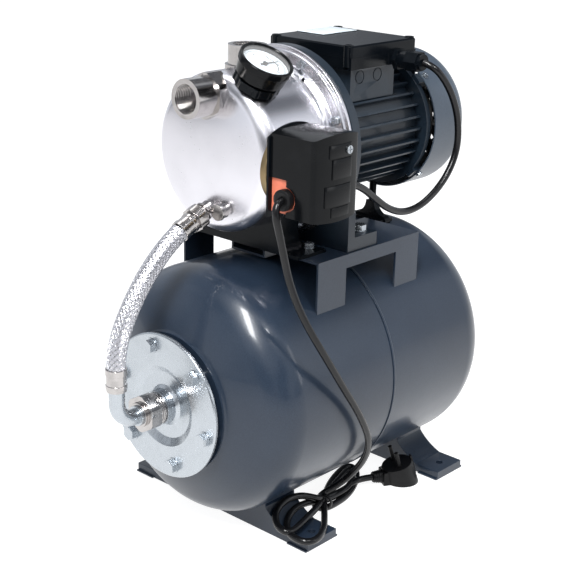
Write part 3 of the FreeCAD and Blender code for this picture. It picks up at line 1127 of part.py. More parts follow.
def make_support():
    """Post that holds the motor up from the tank behind the platform."""
    top = PUMP_Z - SHIELD_RADIUS + 2
    ear = SUPPORT_BASE_HALF
    base_low = TANK_TOP_Z - 6
    gusset = profile([(-ear, base_low), (-ear + 2, TANK_TOP_Z + 6, -ear - 1.5, TANK_TOP_Z + 3),
                      (-6, TANK_TOP_Z + 22, -10, TANK_TOP_Z + 11), (6, TANK_TOP_Z + 22),
                      (ear - 2, TANK_TOP_Z + 6, 10, TANK_TOP_Z + 11),
                      (ear, base_low, ear + 1.5, TANK_TOP_Z + 3)])
    gusset.rotate(V(0, 0, 0), V(0, 0, 1), 90)
    gusset = gusset.extrude(V(9, 0, 0))
    gusset.translate(V(SUPPORT_X - 4.5, 0, 0))
    post = rod(SUPPORT_RADIUS, (SUPPORT_X, 0, base_low + 10), (0, 0, 1), top - base_low - 10)
    pad = block((SUPPORT_X - 11, SUPPORT_X + 11), (-ear, ear), (base_low, TANK_TOP_Z + 3))
    shape = fused([gusset, post, pad])
    shape = shape.cut(rod_x(TANK_RADIUS + SEAT, SUPPORT_X - 30, SUPPORT_X + 30, z=TANK_AXIS_Z))
    shape = shape.cut(rod_x(SHIELD_RADIUS + SEAT, SUPPORT_X - 30, SUPPORT_X + 30, z=PUMP_Z))
    save("motor_support", shape)


# ---------------------------------------------------------------- hose

def make_hose(elbow_start_x):
    points = [(elbow_start_x - FIT, 0, TANK_AXIS_Z), (ELBOW_X, 0, TANK_AXIS_Z),
              (ELBOW_X, 0, LOWER_FERRULE_Z[0] - FIT)]
    path, _ = bent_path(points, ELBOW_BEND)
    elbow = swept(path, points, ELBOW_RADIUS)
    ring = rod_x(ELBOW_RADIUS + 2.4, elbow_start_x - 3, elbow_start_x - FIT, z=TANK_AXIS_Z)
    save("hose_elbow", fused([elbow, ring]))

    start, way = nipple_line()
    low, high = LOWER_FERRULE_Z
    ferrules = []
    for origin, axis, length in (((ELBOW_X, 0, low), (0, 0, 1), high - low),
                                 (along(start, way, FERRULE_LENGTH), tuple(-a for a in way),
                                  FERRULE_LENGTH)):
        ferrule = fused([rod(FERRULE_RADIUS - 0.7, origin, axis, length),
                         rod(FERRULE_RADIUS, along(origin, axis, length * 0.12), axis, length * 0.18),
                         rod(FERRULE_RADIUS, along(origin, axis, length * 0.72), axis, length * 0.28)])
        ferrules.append(ferrule)
    save("hose_ferrules", Part.makeCompound(ferrules))
    save("braided_hose", cord("braided_hose", HOSE_POINTS, HOSE_DIAMETER))
    nut = hexagon(25, along(start, way, FERRULE_LENGTH + FIT), way, UNION_LENGTH - FIT)
    nut = nut.common(rod(13.6, along(start, way, FERRULE_LENGTH), way, UNION_LENGTH))
    save("union_nut", nut.cut(rod(4.5, along(start, way, 15), way, 30)))


# ---------------------------------------------------------------- electric cables

def make_motor_cable():
    save("motor_cable", cord("motor_cable", MOTOR_CABLE_POINTS, CABLE_DIAMETER))


def lobe(outline, low, height):
    """Slab with a smooth closed outline."""
    curve = Part.BSplineCurve()
    curve.interpolate([V(x, y, low) for x, y in outline], PeriodicFlag=True)
    return Part.Face(Part.Wire(curve.toShape())).extrude(V(0, 0, height))


def make_mains_cable():
    main = cord("mains_cable", MAINS_CABLE_POINTS, CABLE_DIAMETER)
    tail = cord("plug_tail", PLUG_TAIL_POINTS, CABLE_DIAMETER)
    left = lobe(HANK_LEFT_OUTLINE, HANK_LEFT_Z, HANK_THICKNESS)
    left.rotate(V(0, HANK_TILT_Y, HANK_LEFT_Z), V(1, 0, 0), HANK_TILT)
    right = lobe(HANK_RIGHT_OUTLINE, HANK_RIGHT_Z, HANK_RIGHT_HEIGHT)
    hank = left.fuse(right)
    tie_x, tie_y, tie_z = TIE_AT
    tie = block((tie_x - 2.5, tie_x + 2.5), (tie_y - 12, tie_y + 12), (tie_z - 12, tie_z + 12))
    hank = hank.cut(tie)
    solids = [hank.cut(main).cut(tail)] if hank.common(main).Volume > 0 else [hank]
    save("cord_hank", Part.makeCompound(solids))
    save("cord_tie", tie.cut(main))
    save("mains_cable", Part.makeCompound([main, tail]))


def make_plug():
    """Angled mains plug lying on its slanted back, pins up."""
    r = PLUG_BODY_RADIUS
    h = PLUG_BODY_HEIGHT
    lean = math.radians(PLUG_LEAN)
    axis = (math.sin(lean), 0, math.cos(lean))
    across = (math.cos(lean), 0, -math.sin(lean))
    sunk = along((0, 0, 0), axis, -8)
    body = Part.makeCone(r, r - 1.5, h + 8, V(*sunk), V(*axis))
    neck = block((0, r + 6), (-9.5, 9.5), (0, 16))
    relief = Part.makeCone(8.0, 6.0, PLUG_REACH - r - 3, V(r + 3, 0, PLUG_RELIEF_Z), V(1, 0, 0))
    pieces = [body, neck, relief]
    for side in (-1, 1):
        foot = along((0, side * PLUG_PIN_SPACING / 2, 0), axis, h - 1)
        pieces.append(rod(PLUG_PIN_RADIUS, foot, axis, PLUG_PIN_LENGTH + 1))
        clip = Part.makeBox(2.0, 5.0, h, V(-1.0, -2.5, 3.0))
        pieces.append(aimed(clip, along((0, 0, 0), across, side * (r - 1.2)), axis))
    plug = fused(pieces)
    plug = plug.cut(block((-60, 60), (-60, 60), (-30, SEAT)))
    plug.rotate(V(0, 0, 0), V(0, 0, 1), PLUG_TURN)
    plug.translate(V(PLUG_AT[0], PLUG_AT[1], 0))
    save("mains_plug", plug)


def main():
    os.makedirs("parts", exist_ok=True)
    make_tank()
    elbow_start = make_flange()
    make_bladder()
    make_air_valve()
    make_feet()
    make_platform()
    make_casing()
    make_saddle()
    make_wet_end()
    front_bearing_x = make_adapter()
    make_rotor(front_bearing_x)
    make_motor()
    make_fan_cover()
    make_screws()
    make_terminal_box()
    make_gauge()
    make_switch()
    make_support()
    make_hose(elbow_start)
    make_motor_cable()
    make_mains_cable()
    make_plug()


main()
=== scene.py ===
import json
import math

import bmesh
import bpy
from mathutils import Matrix, Quaternion, Vector


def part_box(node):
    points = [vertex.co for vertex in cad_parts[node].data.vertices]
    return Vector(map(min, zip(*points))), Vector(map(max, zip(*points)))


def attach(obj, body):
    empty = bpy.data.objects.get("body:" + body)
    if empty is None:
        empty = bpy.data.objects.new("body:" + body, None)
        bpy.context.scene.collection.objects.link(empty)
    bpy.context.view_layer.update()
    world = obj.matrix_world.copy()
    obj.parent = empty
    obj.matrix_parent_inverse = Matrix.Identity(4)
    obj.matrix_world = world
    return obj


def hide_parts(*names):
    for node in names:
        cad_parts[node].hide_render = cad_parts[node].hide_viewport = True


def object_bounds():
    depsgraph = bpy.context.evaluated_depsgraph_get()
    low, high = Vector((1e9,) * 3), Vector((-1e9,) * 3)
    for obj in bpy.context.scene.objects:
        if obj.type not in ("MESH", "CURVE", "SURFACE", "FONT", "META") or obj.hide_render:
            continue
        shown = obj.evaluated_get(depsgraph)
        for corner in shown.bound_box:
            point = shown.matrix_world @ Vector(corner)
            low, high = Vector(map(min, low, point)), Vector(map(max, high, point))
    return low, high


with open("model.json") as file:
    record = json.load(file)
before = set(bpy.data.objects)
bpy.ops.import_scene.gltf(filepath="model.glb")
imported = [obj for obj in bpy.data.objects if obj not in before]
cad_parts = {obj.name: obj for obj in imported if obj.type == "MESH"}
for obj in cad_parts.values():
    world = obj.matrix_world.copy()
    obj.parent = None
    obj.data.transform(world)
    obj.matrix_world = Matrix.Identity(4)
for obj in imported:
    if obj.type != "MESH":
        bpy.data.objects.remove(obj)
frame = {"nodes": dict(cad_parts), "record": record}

MM = 0.001
CAD_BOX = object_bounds()
NODES = frame["nodes"]
BODY_OF = {node: body for body, nodes in frame["record"]["behaviour"]["bodies"].items()
           for node in nodes}


# ---------------------------------------------------------------- shader maths

class Wire:
    """A shader socket that takes Python's operators. Each operator adds its node."""

    def __init__(self, finish, socket):
        self.finish = finish
        self.socket = socket

    def math(self, operation, other):
        return self.finish.node("ShaderNodeMath", {"operation": operation}, {0: self, 1: other})

    def __add__(self, other):
        return self.math("ADD", other)

    def __sub__(self, other):
        return self.math("SUBTRACT", other)

    def __mul__(self, other):
        return self.math("MULTIPLY", other)

    __radd__ = __add__

    def between(self, low, high):
        """0 below low, 1 above high, smooth between them."""
        return self.finish.node("ShaderNodeMapRange", {"interpolation_type": "SMOOTHSTEP"},
                                {"Value": self, "From Min": low, "From Max": high})


class Finish:
    """One material, with its nodes."""

    def __init__(self, name, color, roughness, metallic=0.0, **fixed):
        self.material = bpy.data.materials.new(name)
        self.material.use_nodes = True
        self.tree = self.material.node_tree
        self.shader = self.tree.nodes["Principled BSDF"]
        self.set("Base Color", color)
        self.set("Roughness", roughness)
        self.set("Metallic", metallic)
        for socket, value in fixed.items():
            self.set(socket.replace("_", " "), value)

    def plug(self, target, value):
        if isinstance(value, Wire):
            self.tree.links.new(value.socket, target)
        elif hasattr(target.default_value, "__len__") and len(value) < len(target.default_value):
            target.default_value = (*value, 1.0)
        else:
            target.default_value = value

    def set(self, socket, value):
        self.plug(self.shader.inputs[socket], value)

    def node(self, kind, settings=None, inputs=None, out=0):
        made = self.tree.nodes.new(kind)
        for key, value in (settings or {}).items():
            setattr(made, key, value)
        for key, value in (inputs or {}).items():
            self.plug(made.inputs[key], value)
        return Wire(self, made.outputs[out])

    def noise(self, size, detail=2.0, stretch=(1, 1, 1)):
        """Noise whose spots are about size metres wide."""
        where = self.node("ShaderNodeTexCoord", out="Object")
        scaled = self.node("ShaderNodeMapping", None, {"Vector": where, "Scale": stretch})
        return self.node("ShaderNodeTexNoise", None,
                         {"Vector": scaled, "Scale": 1 / size, "Detail": detail})

    def mix(self, share, low, high):
        return self.node("ShaderNodeMix", {"data_type": "RGBA"}, {0: share, 6: low, 7: high}, out=2)

    def bump(self, height, depth):
        """Bump whose full height is depth metres."""
        return self.node("ShaderNodeBump", None, {"Height": height, "Distance": depth})


# ---------------------------------------------------------------- finishes

def sprayed(name, color, light, roughness, peel=0.00003, coat=0.25):
    """Sprayed paint with orange peel, fine specks and soft cloudy variation."""
    f = Finish(name, color, roughness, Coat_Roughness=0.06, Specular_IOR_Level=0.35)
    share = (f.noise(0.12, 3) * 0.55 + f.noise(0.0011, 1) * 0.45).between(0.36, 0.70)
    f.set("Base Color", f.mix(share, color, light))
    f.set("Roughness", roughness + (f.noise(0.02, 3) - 0.5) * 0.10)
    f.set("Coat Weight", coat)
    f.set("Normal", f.bump(f.noise(0.0026, 2), peel))
    return f.material


def satin_steel(name, color, roughness, axis, grain=0.0004):
    """Drawn or turned steel with fine lines around an axis (0, 1 or 2)."""
    f = Finish(name, color, roughness, 1.0)
    stretch = [0.12, 0.12, 0.12]
    stretch[axis] = 1.0
    lines = f.noise(grain, 2, stretch=tuple(stretch))
    smear = f.noise(0.05, 2)
    f.set("Roughness", roughness + (lines - 0.5) * 0.10 + (smear - 0.5) * 0.06)
    dull = tuple(c * 0.94 for c in color)
    f.set("Base Color", f.mix(smear.between(0.35, 0.75), color, dull))
    f.set("Normal", f.bump(lines, 0.000003))
    return f.material


def plated(name, color, roughness, stain=0.10, spread=0.06):
    """Plated or turned metal with faint stains."""
    f = Finish(name, color, roughness, 1.0)
    dark = tuple(c * (1 - stain * 2) for c in color)
    f.set("Base Color", f.mix(f.noise(0.011, 3).between(0.45, 0.80), color, dark))
    f.set("Roughness", roughness + (f.noise(0.0016, 3) - 0.5) * spread * 2)
    f.set("Normal", f.bump(f.noise(0.0022, 2), 0.000003))
    return f.material


def moulded(name, color, roughness, grain=0.00002, size=0.0008, shine=0.3):
    """Moulded plastic or rubber with a fine grain and slightly worn spots."""
    f = Finish(name, color, roughness, Specular_IOR_Level=shine)
    worn = tuple(min(1.0, c * 1.35 + 0.0012) for c in color)
    f.set("Base Color", f.mix(f.noise(0.02, 4).between(0.45, 0.8), color, worn))
    f.set("Roughness", roughness + (f.noise(0.005, 3) - 0.5) * 0.10)
    f.set("Normal", f.bump(f.noise(size, 2), grain))
    return f.material


def window(name):
    """Clear gauge window."""
    return Finish(name, (1.0, 1.0, 1.0), 0.02, Alpha=0.07).material


FINISHES = {
    "tank_paint": sprayed("tank_paint", (0.011, 0.019, 0.034), (0.019, 0.030, 0.049), 0.30),
    "motor_paint": sprayed("motor_paint", (0.005, 0.010, 0.017), (0.010, 0.018, 0.028), 0.40),
    "cover_paint": sprayed("cover_paint", (0.040, 0.054, 0.074), (0.056, 0.074, 0.100), 0.38),
    "stainless": satin_steel("stainless", (0.70, 0.69, 0.73), 0.25, 0),
    "nickel": plated("nickel", (0.46, 0.44, 0.43), 0.17),
    "zinc": plated("zinc", (0.44, 0.47, 0.50), 0.27, 0.03, 0.03),
    "steel_braid": plated("steel_braid", (0.60, 0.60, 0.63), 0.26, 0.04),
    "brass": plated("brass", (0.27, 0.20, 0.11), 0.36),
    "shaft_steel": plated("shaft_steel", (0.5, 0.5, 0.52), 0.3),
    "core_steel": plated("core_steel", (0.2, 0.2, 0.21), 0.5),
    "black_plastic": moulded("black_plastic", (0.0020, 0.0030, 0.0044), 0.22, 0.000008, shine=0.12),
    "gloss_black": moulded("gloss_black", (0.0026, 0.0030, 0.0036), 0.18, 0.000006, 0.004, 0.14),
    "inner_plastic": moulded("inner_plastic", (0.05, 0.05, 0.05), 0.5),
    "salmon_plastic": moulded("salmon_plastic", (0.62, 0.17, 0.10), 0.42),
    "dial_white": moulded("dial_white", (0.50, 0.55, 0.58), 0.45, 0.000002, 0.002),
    "clear_lens": window("clear_lens"),
    "rubber": moulded("rubber", (0.03, 0.03, 0.03), 0.6),
    "black_rubber": moulded("black_rubber", (0.0035, 0.0035, 0.0040), 0.42, shine=0.22),
    "cable_black": moulded("cable_black", (0.0032, 0.0032, 0.0038), 0.24, 0.000008, 0.003, 0.34),
}
SLOT_OF = {part["node"]: part["material_slot"] for part in frame["record"]["subparts"]}


# ---------------------------------------------------------------- pieces

def piece(name, data, node, finish=None, replaced=()):
    """New object that rides with a node's body and takes the slot of its finish."""
    made = bpy.data.objects.new(name, data)
    bpy.context.scene.collection.objects.link(made)
    finish = finish or SLOT_OF[node]
    data.materials.clear()
    data.materials.append(FINISHES[finish])
    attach(made, BODY_OF[node])
    if replaced:
        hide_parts(*replaced)
    return made


def finished(name, b, node, finish=None, replaced=(), angle=30):
    """Piece from a bmesh that is ready."""
    mesh = bpy.data.meshes.new(name)
    b.to_mesh(mesh)
    b.free()
    mesh.shade_smooth()
    mesh.set_sharp_from_angle(angle=math.radians(angle))
    return piece(name, mesh, node, finish, replaced)


def softened(node, bevel=0.3, angle=28, segments=2):
    """Joined copy of a CAD node with small rounded edges, in its place."""
    b = bmesh.new()
    b.from_mesh(NODES[node].data)
    bmesh.ops.remove_doubles(b, verts=b.verts, dist=0.000002)
    bmesh.ops.dissolve_limit(b, angle_limit=math.radians(0.6), verts=b.verts, edges=b.edges)
    made = finished(node + "_shown", b, node, replaced=(node,), angle=angle)
    modifier = made.modifiers.new("edges", "BEVEL")
    modifier.width = bevel * MM
    modifier.segments = segments
    modifier.limit_method = "ANGLE"
    modifier.angle_limit = math.radians(angle)
    modifier.harden_normals = True
    return made


DOME_STEPS = 22
SHELL_STEPS = 180
PIPE_THREAD_PITCH = 2.3
TURN_POINTS = 24


def placing(origin, axis):
    """Matrix that takes +Z at the origin to this place and direction."""
    turn = Vector(axis).to_track_quat("Z", "Y").to_matrix().to_4x4()
    return Matrix.Translation(Vector(origin) * MM) @ turn


def eased(stops, steps=4):
    """Outline whose stops may carry a corner radius as a third number."""
    points = []
    for i, stop in enumerate(stops):
        at = Vector(stop[:2])
        if len(stop) < 3 or i in (0, len(stops) - 1):
            points.append(at)
            continue
        into = Vector(stops[i - 1][:2]) - at
        out = Vector(stops[i + 1][:2]) - at
        half = into.angle(out) / 2
        back = min(stop[2] / math.tan(half), into.length * 0.48, out.length * 0.48)
        start = at + into.normalized() * back
        end = at + out.normalized() * back
        for k in range(steps + 1):
            t = k / steps
            points.append(start * (1 - t) ** 2 + at * (2 * t * (1 - t)) + end * t ** 2)
    return [tuple(point) for point in points]


def turned(name, outline, origin, axis, node, steps, finish=None, replaced=()):
    """Solid of revolution from (radius, height) points along an axis. A hollow one closes on itself."""
    b = bmesh.new()
    verts = [b.verts.new((r * MM, 0, h * MM)) for r, h in outline]
    hollow = outline[0][0] > 0 and outline[-1][0] > 0
    for first, second in zip(verts, verts[1:] + (verts[:1] if hollow else [])):
        b.edges.new((first, second))
    bmesh.ops.spin(b, geom=b.verts[:] + b.edges[:], cent=(0, 0, 0), axis=(0, 0, 1),
                   angle=math.tau, steps=steps, use_merge=True)
    bmesh.ops.remove_doubles(b, verts=b.verts, dist=0.000001)
    bmesh.ops.recalc_face_normals(b, faces=b.faces)
    bmesh.ops.transform(b, matrix=placing(origin, axis), verts=b.verts)
    return finished(name, b, node, finish, replaced)


def dome(tangent, radius, knuckle, crown, outward, low=0.0):
    """(radius, height) points of a dished end, from its tangent line inwards."""
    reach = crown - knuckle
    lean = math.asin((radius - knuckle) / reach)
    crown_at = tangent - outward * reach * math.cos(lean)
    points = []
    for i in range(DOME_STEPS + 1):
        a = math.pi / 2 + (lean - math.pi / 2) * i / DOME_STEPS
        points.append((radius - knuckle + knuckle * math.sin(a),
                       tangent + outward * knuckle * math.cos(a)))
    last = math.asin(low / crown)
    for i in range(1, DOME_STEPS + 1):
        a = lean + (last - lean) * i / DOME_STEPS
        points.append((crown * math.sin(a), crown_at + outward * crown * math.cos(a)))
    return points


def strand(name, routes, radius, node, finish, sides=2):
    """Wires along lists of points in metres."""
    curve = bpy.data.curves.new(name, "CURVE")
    curve.dimensions = "3D"
    for route in routes:
        spline = curve.splines.new("POLY")
        spline.points.add(len(route) - 1)
        for control, point in zip(spline.points, route):
            control.co = (*point, 1.0)
    curve.bevel_depth = radius * MM
    curve.bevel_resolution = sides
    curve.use_fill_caps = True
    return piece(name, curve, node, finish)


def thread(name, origin, axis, length, radius, node):
    """Thread crests as one wire helix."""
    turn = placing(origin, axis)
    count = int(length / PIPE_THREAD_PITCH * TURN_POINTS)
    route = []
    for i in range(count + 1):
        a = math.tau * i / TURN_POINTS
        route.append(turn @ Vector((radius * MM * math.cos(a), radius * MM * math.sin(a),
                                    length * MM * i / count)))
    return strand(name, [route], PIPE_THREAD_PITCH * 0.36, node, None, sides=1)


def slab(name, x, y, z, node, finish, round_by):
    """Small rounded plate between spans in millimetres."""
    b = bmesh.new()
    bmesh.ops.create_cube(b, size=1.0)
    spans = [Vector(span) * MM for span in (x, y, z)]
    bmesh.ops.scale(b, vec=[span[1] - span[0] for span in spans], verts=b.verts)
    bmesh.ops.translate(b, vec=[(span[0] + span[1]) / 2 for span in spans], verts=b.verts)
    bmesh.ops.bevel(b, geom=b.edges[:], offset=round_by * MM, affect="EDGES", segments=2,
                    profile=0.5, material=-1)
    return finished(name, b, node, finish)


# ---------------------------------------------------------------- tank

TANK_Z = 151.5
SEAM = -8.5
TANK_RADIUS = 137.0
KNUCKLE = 45.0
CROWN = 230.0
HALF_STRAIGHT = 140.0
NECK_RADIUS = 76.0
NECK_FACE = -207.74
NECK_FILLET = 1.4
NECK_STEP = 0.9
NECK_BORE = 48.0
VALVE_BORE = 5.1
WALL = 1.5
SEAM_GAP = 0.4


def make_tank():
    front_tangent = SEAM - HALF_STRAIGHT
    front = [(TANK_RADIUS, SEAM - SEAM_GAP),
             *dome(front_tangent, TANK_RADIUS, KNUCKLE, CROWN, -1, NECK_RADIUS + NECK_FILLET)]
    neck = [(NECK_RADIUS, front[-1][1] - NECK_STEP), (NECK_RADIUS, NECK_FACE), (NECK_BORE, NECK_FACE)]
    inner = dome(front_tangent, TANK_RADIUS - WALL, KNUCKLE - WALL, CROWN - WALL, -1, NECK_BORE)
    outline = front + neck + inner[::-1] + [(TANK_RADIUS - WALL, SEAM - SEAM_GAP)]
    turned("front_shell", outline, (0, 0, TANK_Z), (1, 0, 0), "tank_front_shell", SHELL_STEPS,
           replaced=("tank_front_shell",))
    rear_tangent = SEAM + HALF_STRAIGHT
    rim = eased([(TANK_RADIUS - WALL, SEAM + 0.1), (TANK_RADIUS + 1.1, SEAM + 0.1, 0.5),
                 (TANK_RADIUS + 1.1, SEAM + 2.6, 0.8), (TANK_RADIUS, SEAM + 4.0, 1.0),
                 (TANK_RADIUS, rear_tangent)])
    rear = dome(rear_tangent, TANK_RADIUS, KNUCKLE, CROWN, 1, VALVE_BORE)[1:]
    inner = dome(rear_tangent, TANK_RADIUS - WALL, KNUCKLE - WALL, CROWN - WALL, 1, VALVE_BORE)
    turned("rear_shell", rim + rear + inner[::-1], (0, 0, TANK_Z), (1, 0, 0), "tank_rear_shell",
           SHELL_STEPS, replaced=("tank_rear_shell",))
    softened("tank_feet", 1.6, 20, 4)
    softened("platform", 1.0, 20, 3)


NUT_END = 17.5                # from the reducer's outer end to the end of its hex
THREAD_START = 0.6
THREAD_LENGTH = 6.8
THREAD_RADIUS = 16.3


def make_reducer():
    softened("hex_reducer", 0.5)
    nut_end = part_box("hex_reducer")[0][0] / MM + NUT_END
    thread("reducer_thread", (nut_end + THREAD_START, 0, TANK_Z), (1, 0, 0), THREAD_LENGTH,
           THREAD_RADIUS, "hex_reducer")


# ---------------------------------------------------------------- pump

PUMP_Z = 406.0
RING_FACE = -57.0
RING_RIM = -53.0
RING_BACK = -49.0
RING_RADIUS = 101.0
BARREL_RADIUS = 82.0
BARREL_KNUCKLE = 17.0
BARREL_CROWN = 330.0
BARREL_FRONT = -136.5
BARREL_ROOT = -71.0
CASING_WALL = 2.0
PIN_ANGLE = math.radians(58.0)
PIN_OUT = 84.825              # from the pump's axis to the pin in the shoulder
SUCTION_THREAD_AT = (-186.0, 0, 466.0)
DISCHARGE_THREAD_AT = (-100.5, 0, 490.0)


def make_casing():
    rim = eased([(BARREL_RADIUS - CASING_WALL, RING_BACK), (RING_RADIUS, RING_BACK, 0.8),
                 (RING_RADIUS, RING_RIM, 0.8), (RING_RADIUS - 3.2, RING_RIM, 0.3),
                 (RING_RADIUS - 4.0, RING_FACE + 0.8, 0.6), (RING_RADIUS - 5.6, RING_FACE, 0.8),
                 (BARREL_RADIUS + 4.4, RING_FACE, 0.8), (BARREL_RADIUS + 3.6, RING_FACE - 1.6, 0.7),
                 (BARREL_RADIUS + 3.2, RING_FACE - 6.6, 1.2), (BARREL_RADIUS + 1.8, RING_FACE - 8.2, 0.9),
                 (BARREL_RADIUS + 1.2, BARREL_ROOT + 1.8, 0.8), (BARREL_RADIUS, BARREL_ROOT - 0.4, 0.8),
                 (BARREL_RADIUS, BARREL_FRONT)])
    front = dome(BARREL_FRONT, BARREL_RADIUS, BARREL_KNUCKLE, BARREL_CROWN, -1)[1:]
    inner = dome(BARREL_FRONT, BARREL_RADIUS - CASING_WALL, BARREL_KNUCKLE - CASING_WALL,
                 BARREL_CROWN - CASING_WALL, -1)
    turned("casing_shell", rim + front + inner[::-1], (0, 0, PUMP_Z), (1, 0, 0), "pump_casing",
           SHELL_STEPS, replaced=("pump_casing",))
    pin = (RING_FACE - 8.3, -PIN_OUT * math.cos(PIN_ANGLE), PUMP_Z + PIN_OUT * math.sin(PIN_ANGLE))
    turned("drain_pin", eased([(0, 0.8), (1.7, 0.8, 0.4), (1.7, -0.6), (0, -0.6)]), pin, (-1, 0, 0),
           "pump_casing", 24, "black_plastic")
    thread("suction_thread", SUCTION_THREAD_AT, (1, 0, 0), 22, 15.5, "suction_port")
    thread("discharge_thread", DISCHARGE_THREAD_AT, (0, 0, 1), 21.5, 15.0, "discharge_port")


# ---------------------------------------------------------------- gauge

GAUGE_TILT = math.radians(29.0)
GAUGE_AT = (-130.5, 0, PUMP_Z)
GAUGE_AXIS = (0, -math.sin(GAUGE_TILT), math.cos(GAUGE_TILT))
GAUGE_FACE = 115.5
GAUGE_DEPTH = 21.0
GAUGE_RADIUS = 26.3
BEZEL_RADIUS = 27.8
DIAL_RADIUS = 24.5
DIAL_AT = 108.35
DIAL_TURN = -23.0
SCALE_START = 225
SCALE_SPAN = 270
SCALE_TICKS = 50
SCALE_NUMBERS = 6
SCALE_RADIUS = 21.6
TICK_OUT = 21.4
TICK_LONG_IN = 18.2
TICK_SHORT_IN = 19.8
ZONE_RADIUS = 14.2
NUMBER_RADIUS = 15.8
NUMBER_HEIGHT = 4.2


def make_gauge():
    back = GAUGE_FACE - GAUGE_DEPTH
    case = eased([(0, back - 3), (20.5, back - 3, 0.8), (21.2, back - 0.2, 0.6), (25.2, back + 0.4, 1.6),
                  (GAUGE_RADIUS, GAUGE_FACE - 8.4, 0.4), (BEZEL_RADIUS, GAUGE_FACE - 7.6, 0.6),
                  (BEZEL_RADIUS, GAUGE_FACE - 0.8, 1.6), (25.6, GAUGE_FACE, 1.0),
                  (24.3, GAUGE_FACE - 1.8, 0.8), (DIAL_RADIUS, DIAL_AT - 0.5, 0.2),
                  (DIAL_RADIUS, back + 1.8, 0.5), (0, back + 1.8)], 5)
    turned("gauge_body", case, GAUGE_AT, GAUGE_AXIS, "gauge_case", 96, replaced=("gauge_case",))
    turn = placing(GAUGE_AT, GAUGE_AXIS) @ Matrix.Translation((0, 0, DIAL_AT * MM))

    def spot(radius, degrees):
        a = math.radians(degrees + DIAL_TURN)
        return turn @ Vector((radius * MM * math.cos(a), radius * MM * math.sin(a), 0))

    def print_lines(name, lines, radius, sides):
        strand(name, lines, radius, "gauge_dial", "black_plastic", sides)

    ticks = []
    for i in range(SCALE_TICKS + 1):
        at = SCALE_START - SCALE_SPAN / SCALE_TICKS * i
        ticks.append([spot(TICK_OUT, at), spot(TICK_LONG_IN if i % 5 == 0 else TICK_SHORT_IN, at)])
    print_lines("dial_ticks", ticks, 0.16, 0)
    arc = [spot(SCALE_RADIUS, SCALE_START - SCALE_SPAN / 100 * i) for i in range(101)]
    print_lines("dial_scale", [arc], 0.14, 0)
    print_lines("dial_zone", [[spot(ZONE_RADIUS, 60 - 2.5 * i) for i in range(41)]], 0.42, 1)
    upright = placing((0, 0, 0), GAUGE_AXIS) @ Matrix.Rotation(math.radians(DIAL_TURN), 4, "Z")
    for i in range(SCALE_NUMBERS):
        at = spot(NUMBER_RADIUS, SCALE_START - SCALE_SPAN / (SCALE_NUMBERS - 1) * i)
        mesh = number_mesh(2 * i)
        mesh.transform(Matrix.Translation(at) @ upright)
        piece("dial_number_%d" % i, mesh, "gauge_dial", "black_plastic")


def number_mesh(number):
    """Flat mesh of a number, centred on the origin."""
    text = bpy.data.curves.new("number", "FONT")
    text.body = str(number)
    text.size = NUMBER_HEIGHT * MM
    text.align_x = "CENTER"
    text.align_y = "CENTER"
    text.extrude = 0.05 * MM
    return mesh_of(text)


def mesh_of(curve):
    """Mesh that a curve or a text makes."""
    holder = bpy.data.objects.new("holder", curve)
    bpy.context.scene.collection.objects.link(holder)
    graph = bpy.context.evaluated_depsgraph_get()
    mesh = bpy.data.meshes.new_from_object(holder.evaluated_get(graph))
    bpy.data.objects.remove(holder)
    return mesh


# ---------------------------------------------------------------- pressure switch

SWITCH_MIDDLE = -134.05
SWITCH_FACE = -154.0
BOW_RADIUS = 135.2
PANEL_DEPTH = 1.4
PANEL_ROUND = 0.3
COVER_PANELS = (
    ("cover_panel_top", (-148.5, -116.0), (427.0, 439.5), 0.8),
    ("cover_panel_middle", (-144.0, -116.0), (406.5, 425.5), 1.0),
    ("cover_panel_low", (-153.0, -116.0), (380.5, 400.5), 1.0),
    ("cover_panel_foot", (-144.0, -118.0), (369.5, 379.0), 0.7))
COLLARS = (("mains_collar", (-166.7, -115.7, 384.3), -1), ("motor_collar", (-101.4, -115.0, 386.0), 1))


def bowed(name, x, z, lift):
    """Plate that follows the bowed outer face of the switch cover."""
    b = bmesh.new()
    bmesh.ops.create_cube(b, size=1.0)
    bmesh.ops.scale(b, vec=((x[1] - x[0]) * MM, PANEL_DEPTH * MM, (z[1] - z[0]) * MM), verts=b.verts)
    bmesh.ops.translate(b, vec=((x[0] + x[1]) / 2 * MM, 0, (z[0] + z[1]) / 2 * MM), verts=b.verts)
    along_x = [e for e in b.edges if abs(e.verts[0].co.x - e.verts[1].co.x) > MM]
    bmesh.ops.subdivide_edges(b, edges=along_x, cuts=14, use_grid_fill=True)
    outline = [e for e in b.edges if e.calc_face_angle(0) > 1.0]
    bmesh.ops.bevel(b, geom=outline, offset=PANEL_ROUND * MM, affect="EDGES", segments=2, profile=0.5,
                    material=-1)
    for vert in b.verts:
        off = vert.co.x / MM - SWITCH_MIDDLE
        bow = BOW_RADIUS - math.sqrt(BOW_RADIUS ** 2 - off ** 2)
        vert.co.y += (SWITCH_FACE + bow - lift + PANEL_DEPTH / 2) * MM
    return finished(name, b, "switch_cover")


def make_switch():
    softened("switch_cover", 0.9, 25, 3)
    for name, x, z, lift in COVER_PANELS:
        bowed(name, x, z, lift)
    collar = eased([(4.1, 4.9), (8.0, 5.6, 0.8), (10.6, 4.6, 1.0), (10.6, -0.4), (4.1, -0.4)])
    for name, at, way in COLLARS:
        turned(name, collar, at, (way, 0, 0), "switch_grommets", 48)


# ---------------------------------------------------------------- terminal box

LID_TOP = 506.8
LABEL_X = (36.2, 94.4)
LABEL_Y = (17.2, 55.4)
LABEL_Z = (LID_TOP + 0.3, LID_TOP + 0.9)


def make_terminal_box():
    softened("terminal_lid", 0.8, 25, 3)
    softened("terminal_box", 0.6, 25, 2)
    slab("lid_label", LABEL_X, LABEL_Y, LABEL_Z, "terminal_lid", "dial_white", 0.2)


# ---------------------------------------------------------------- cords

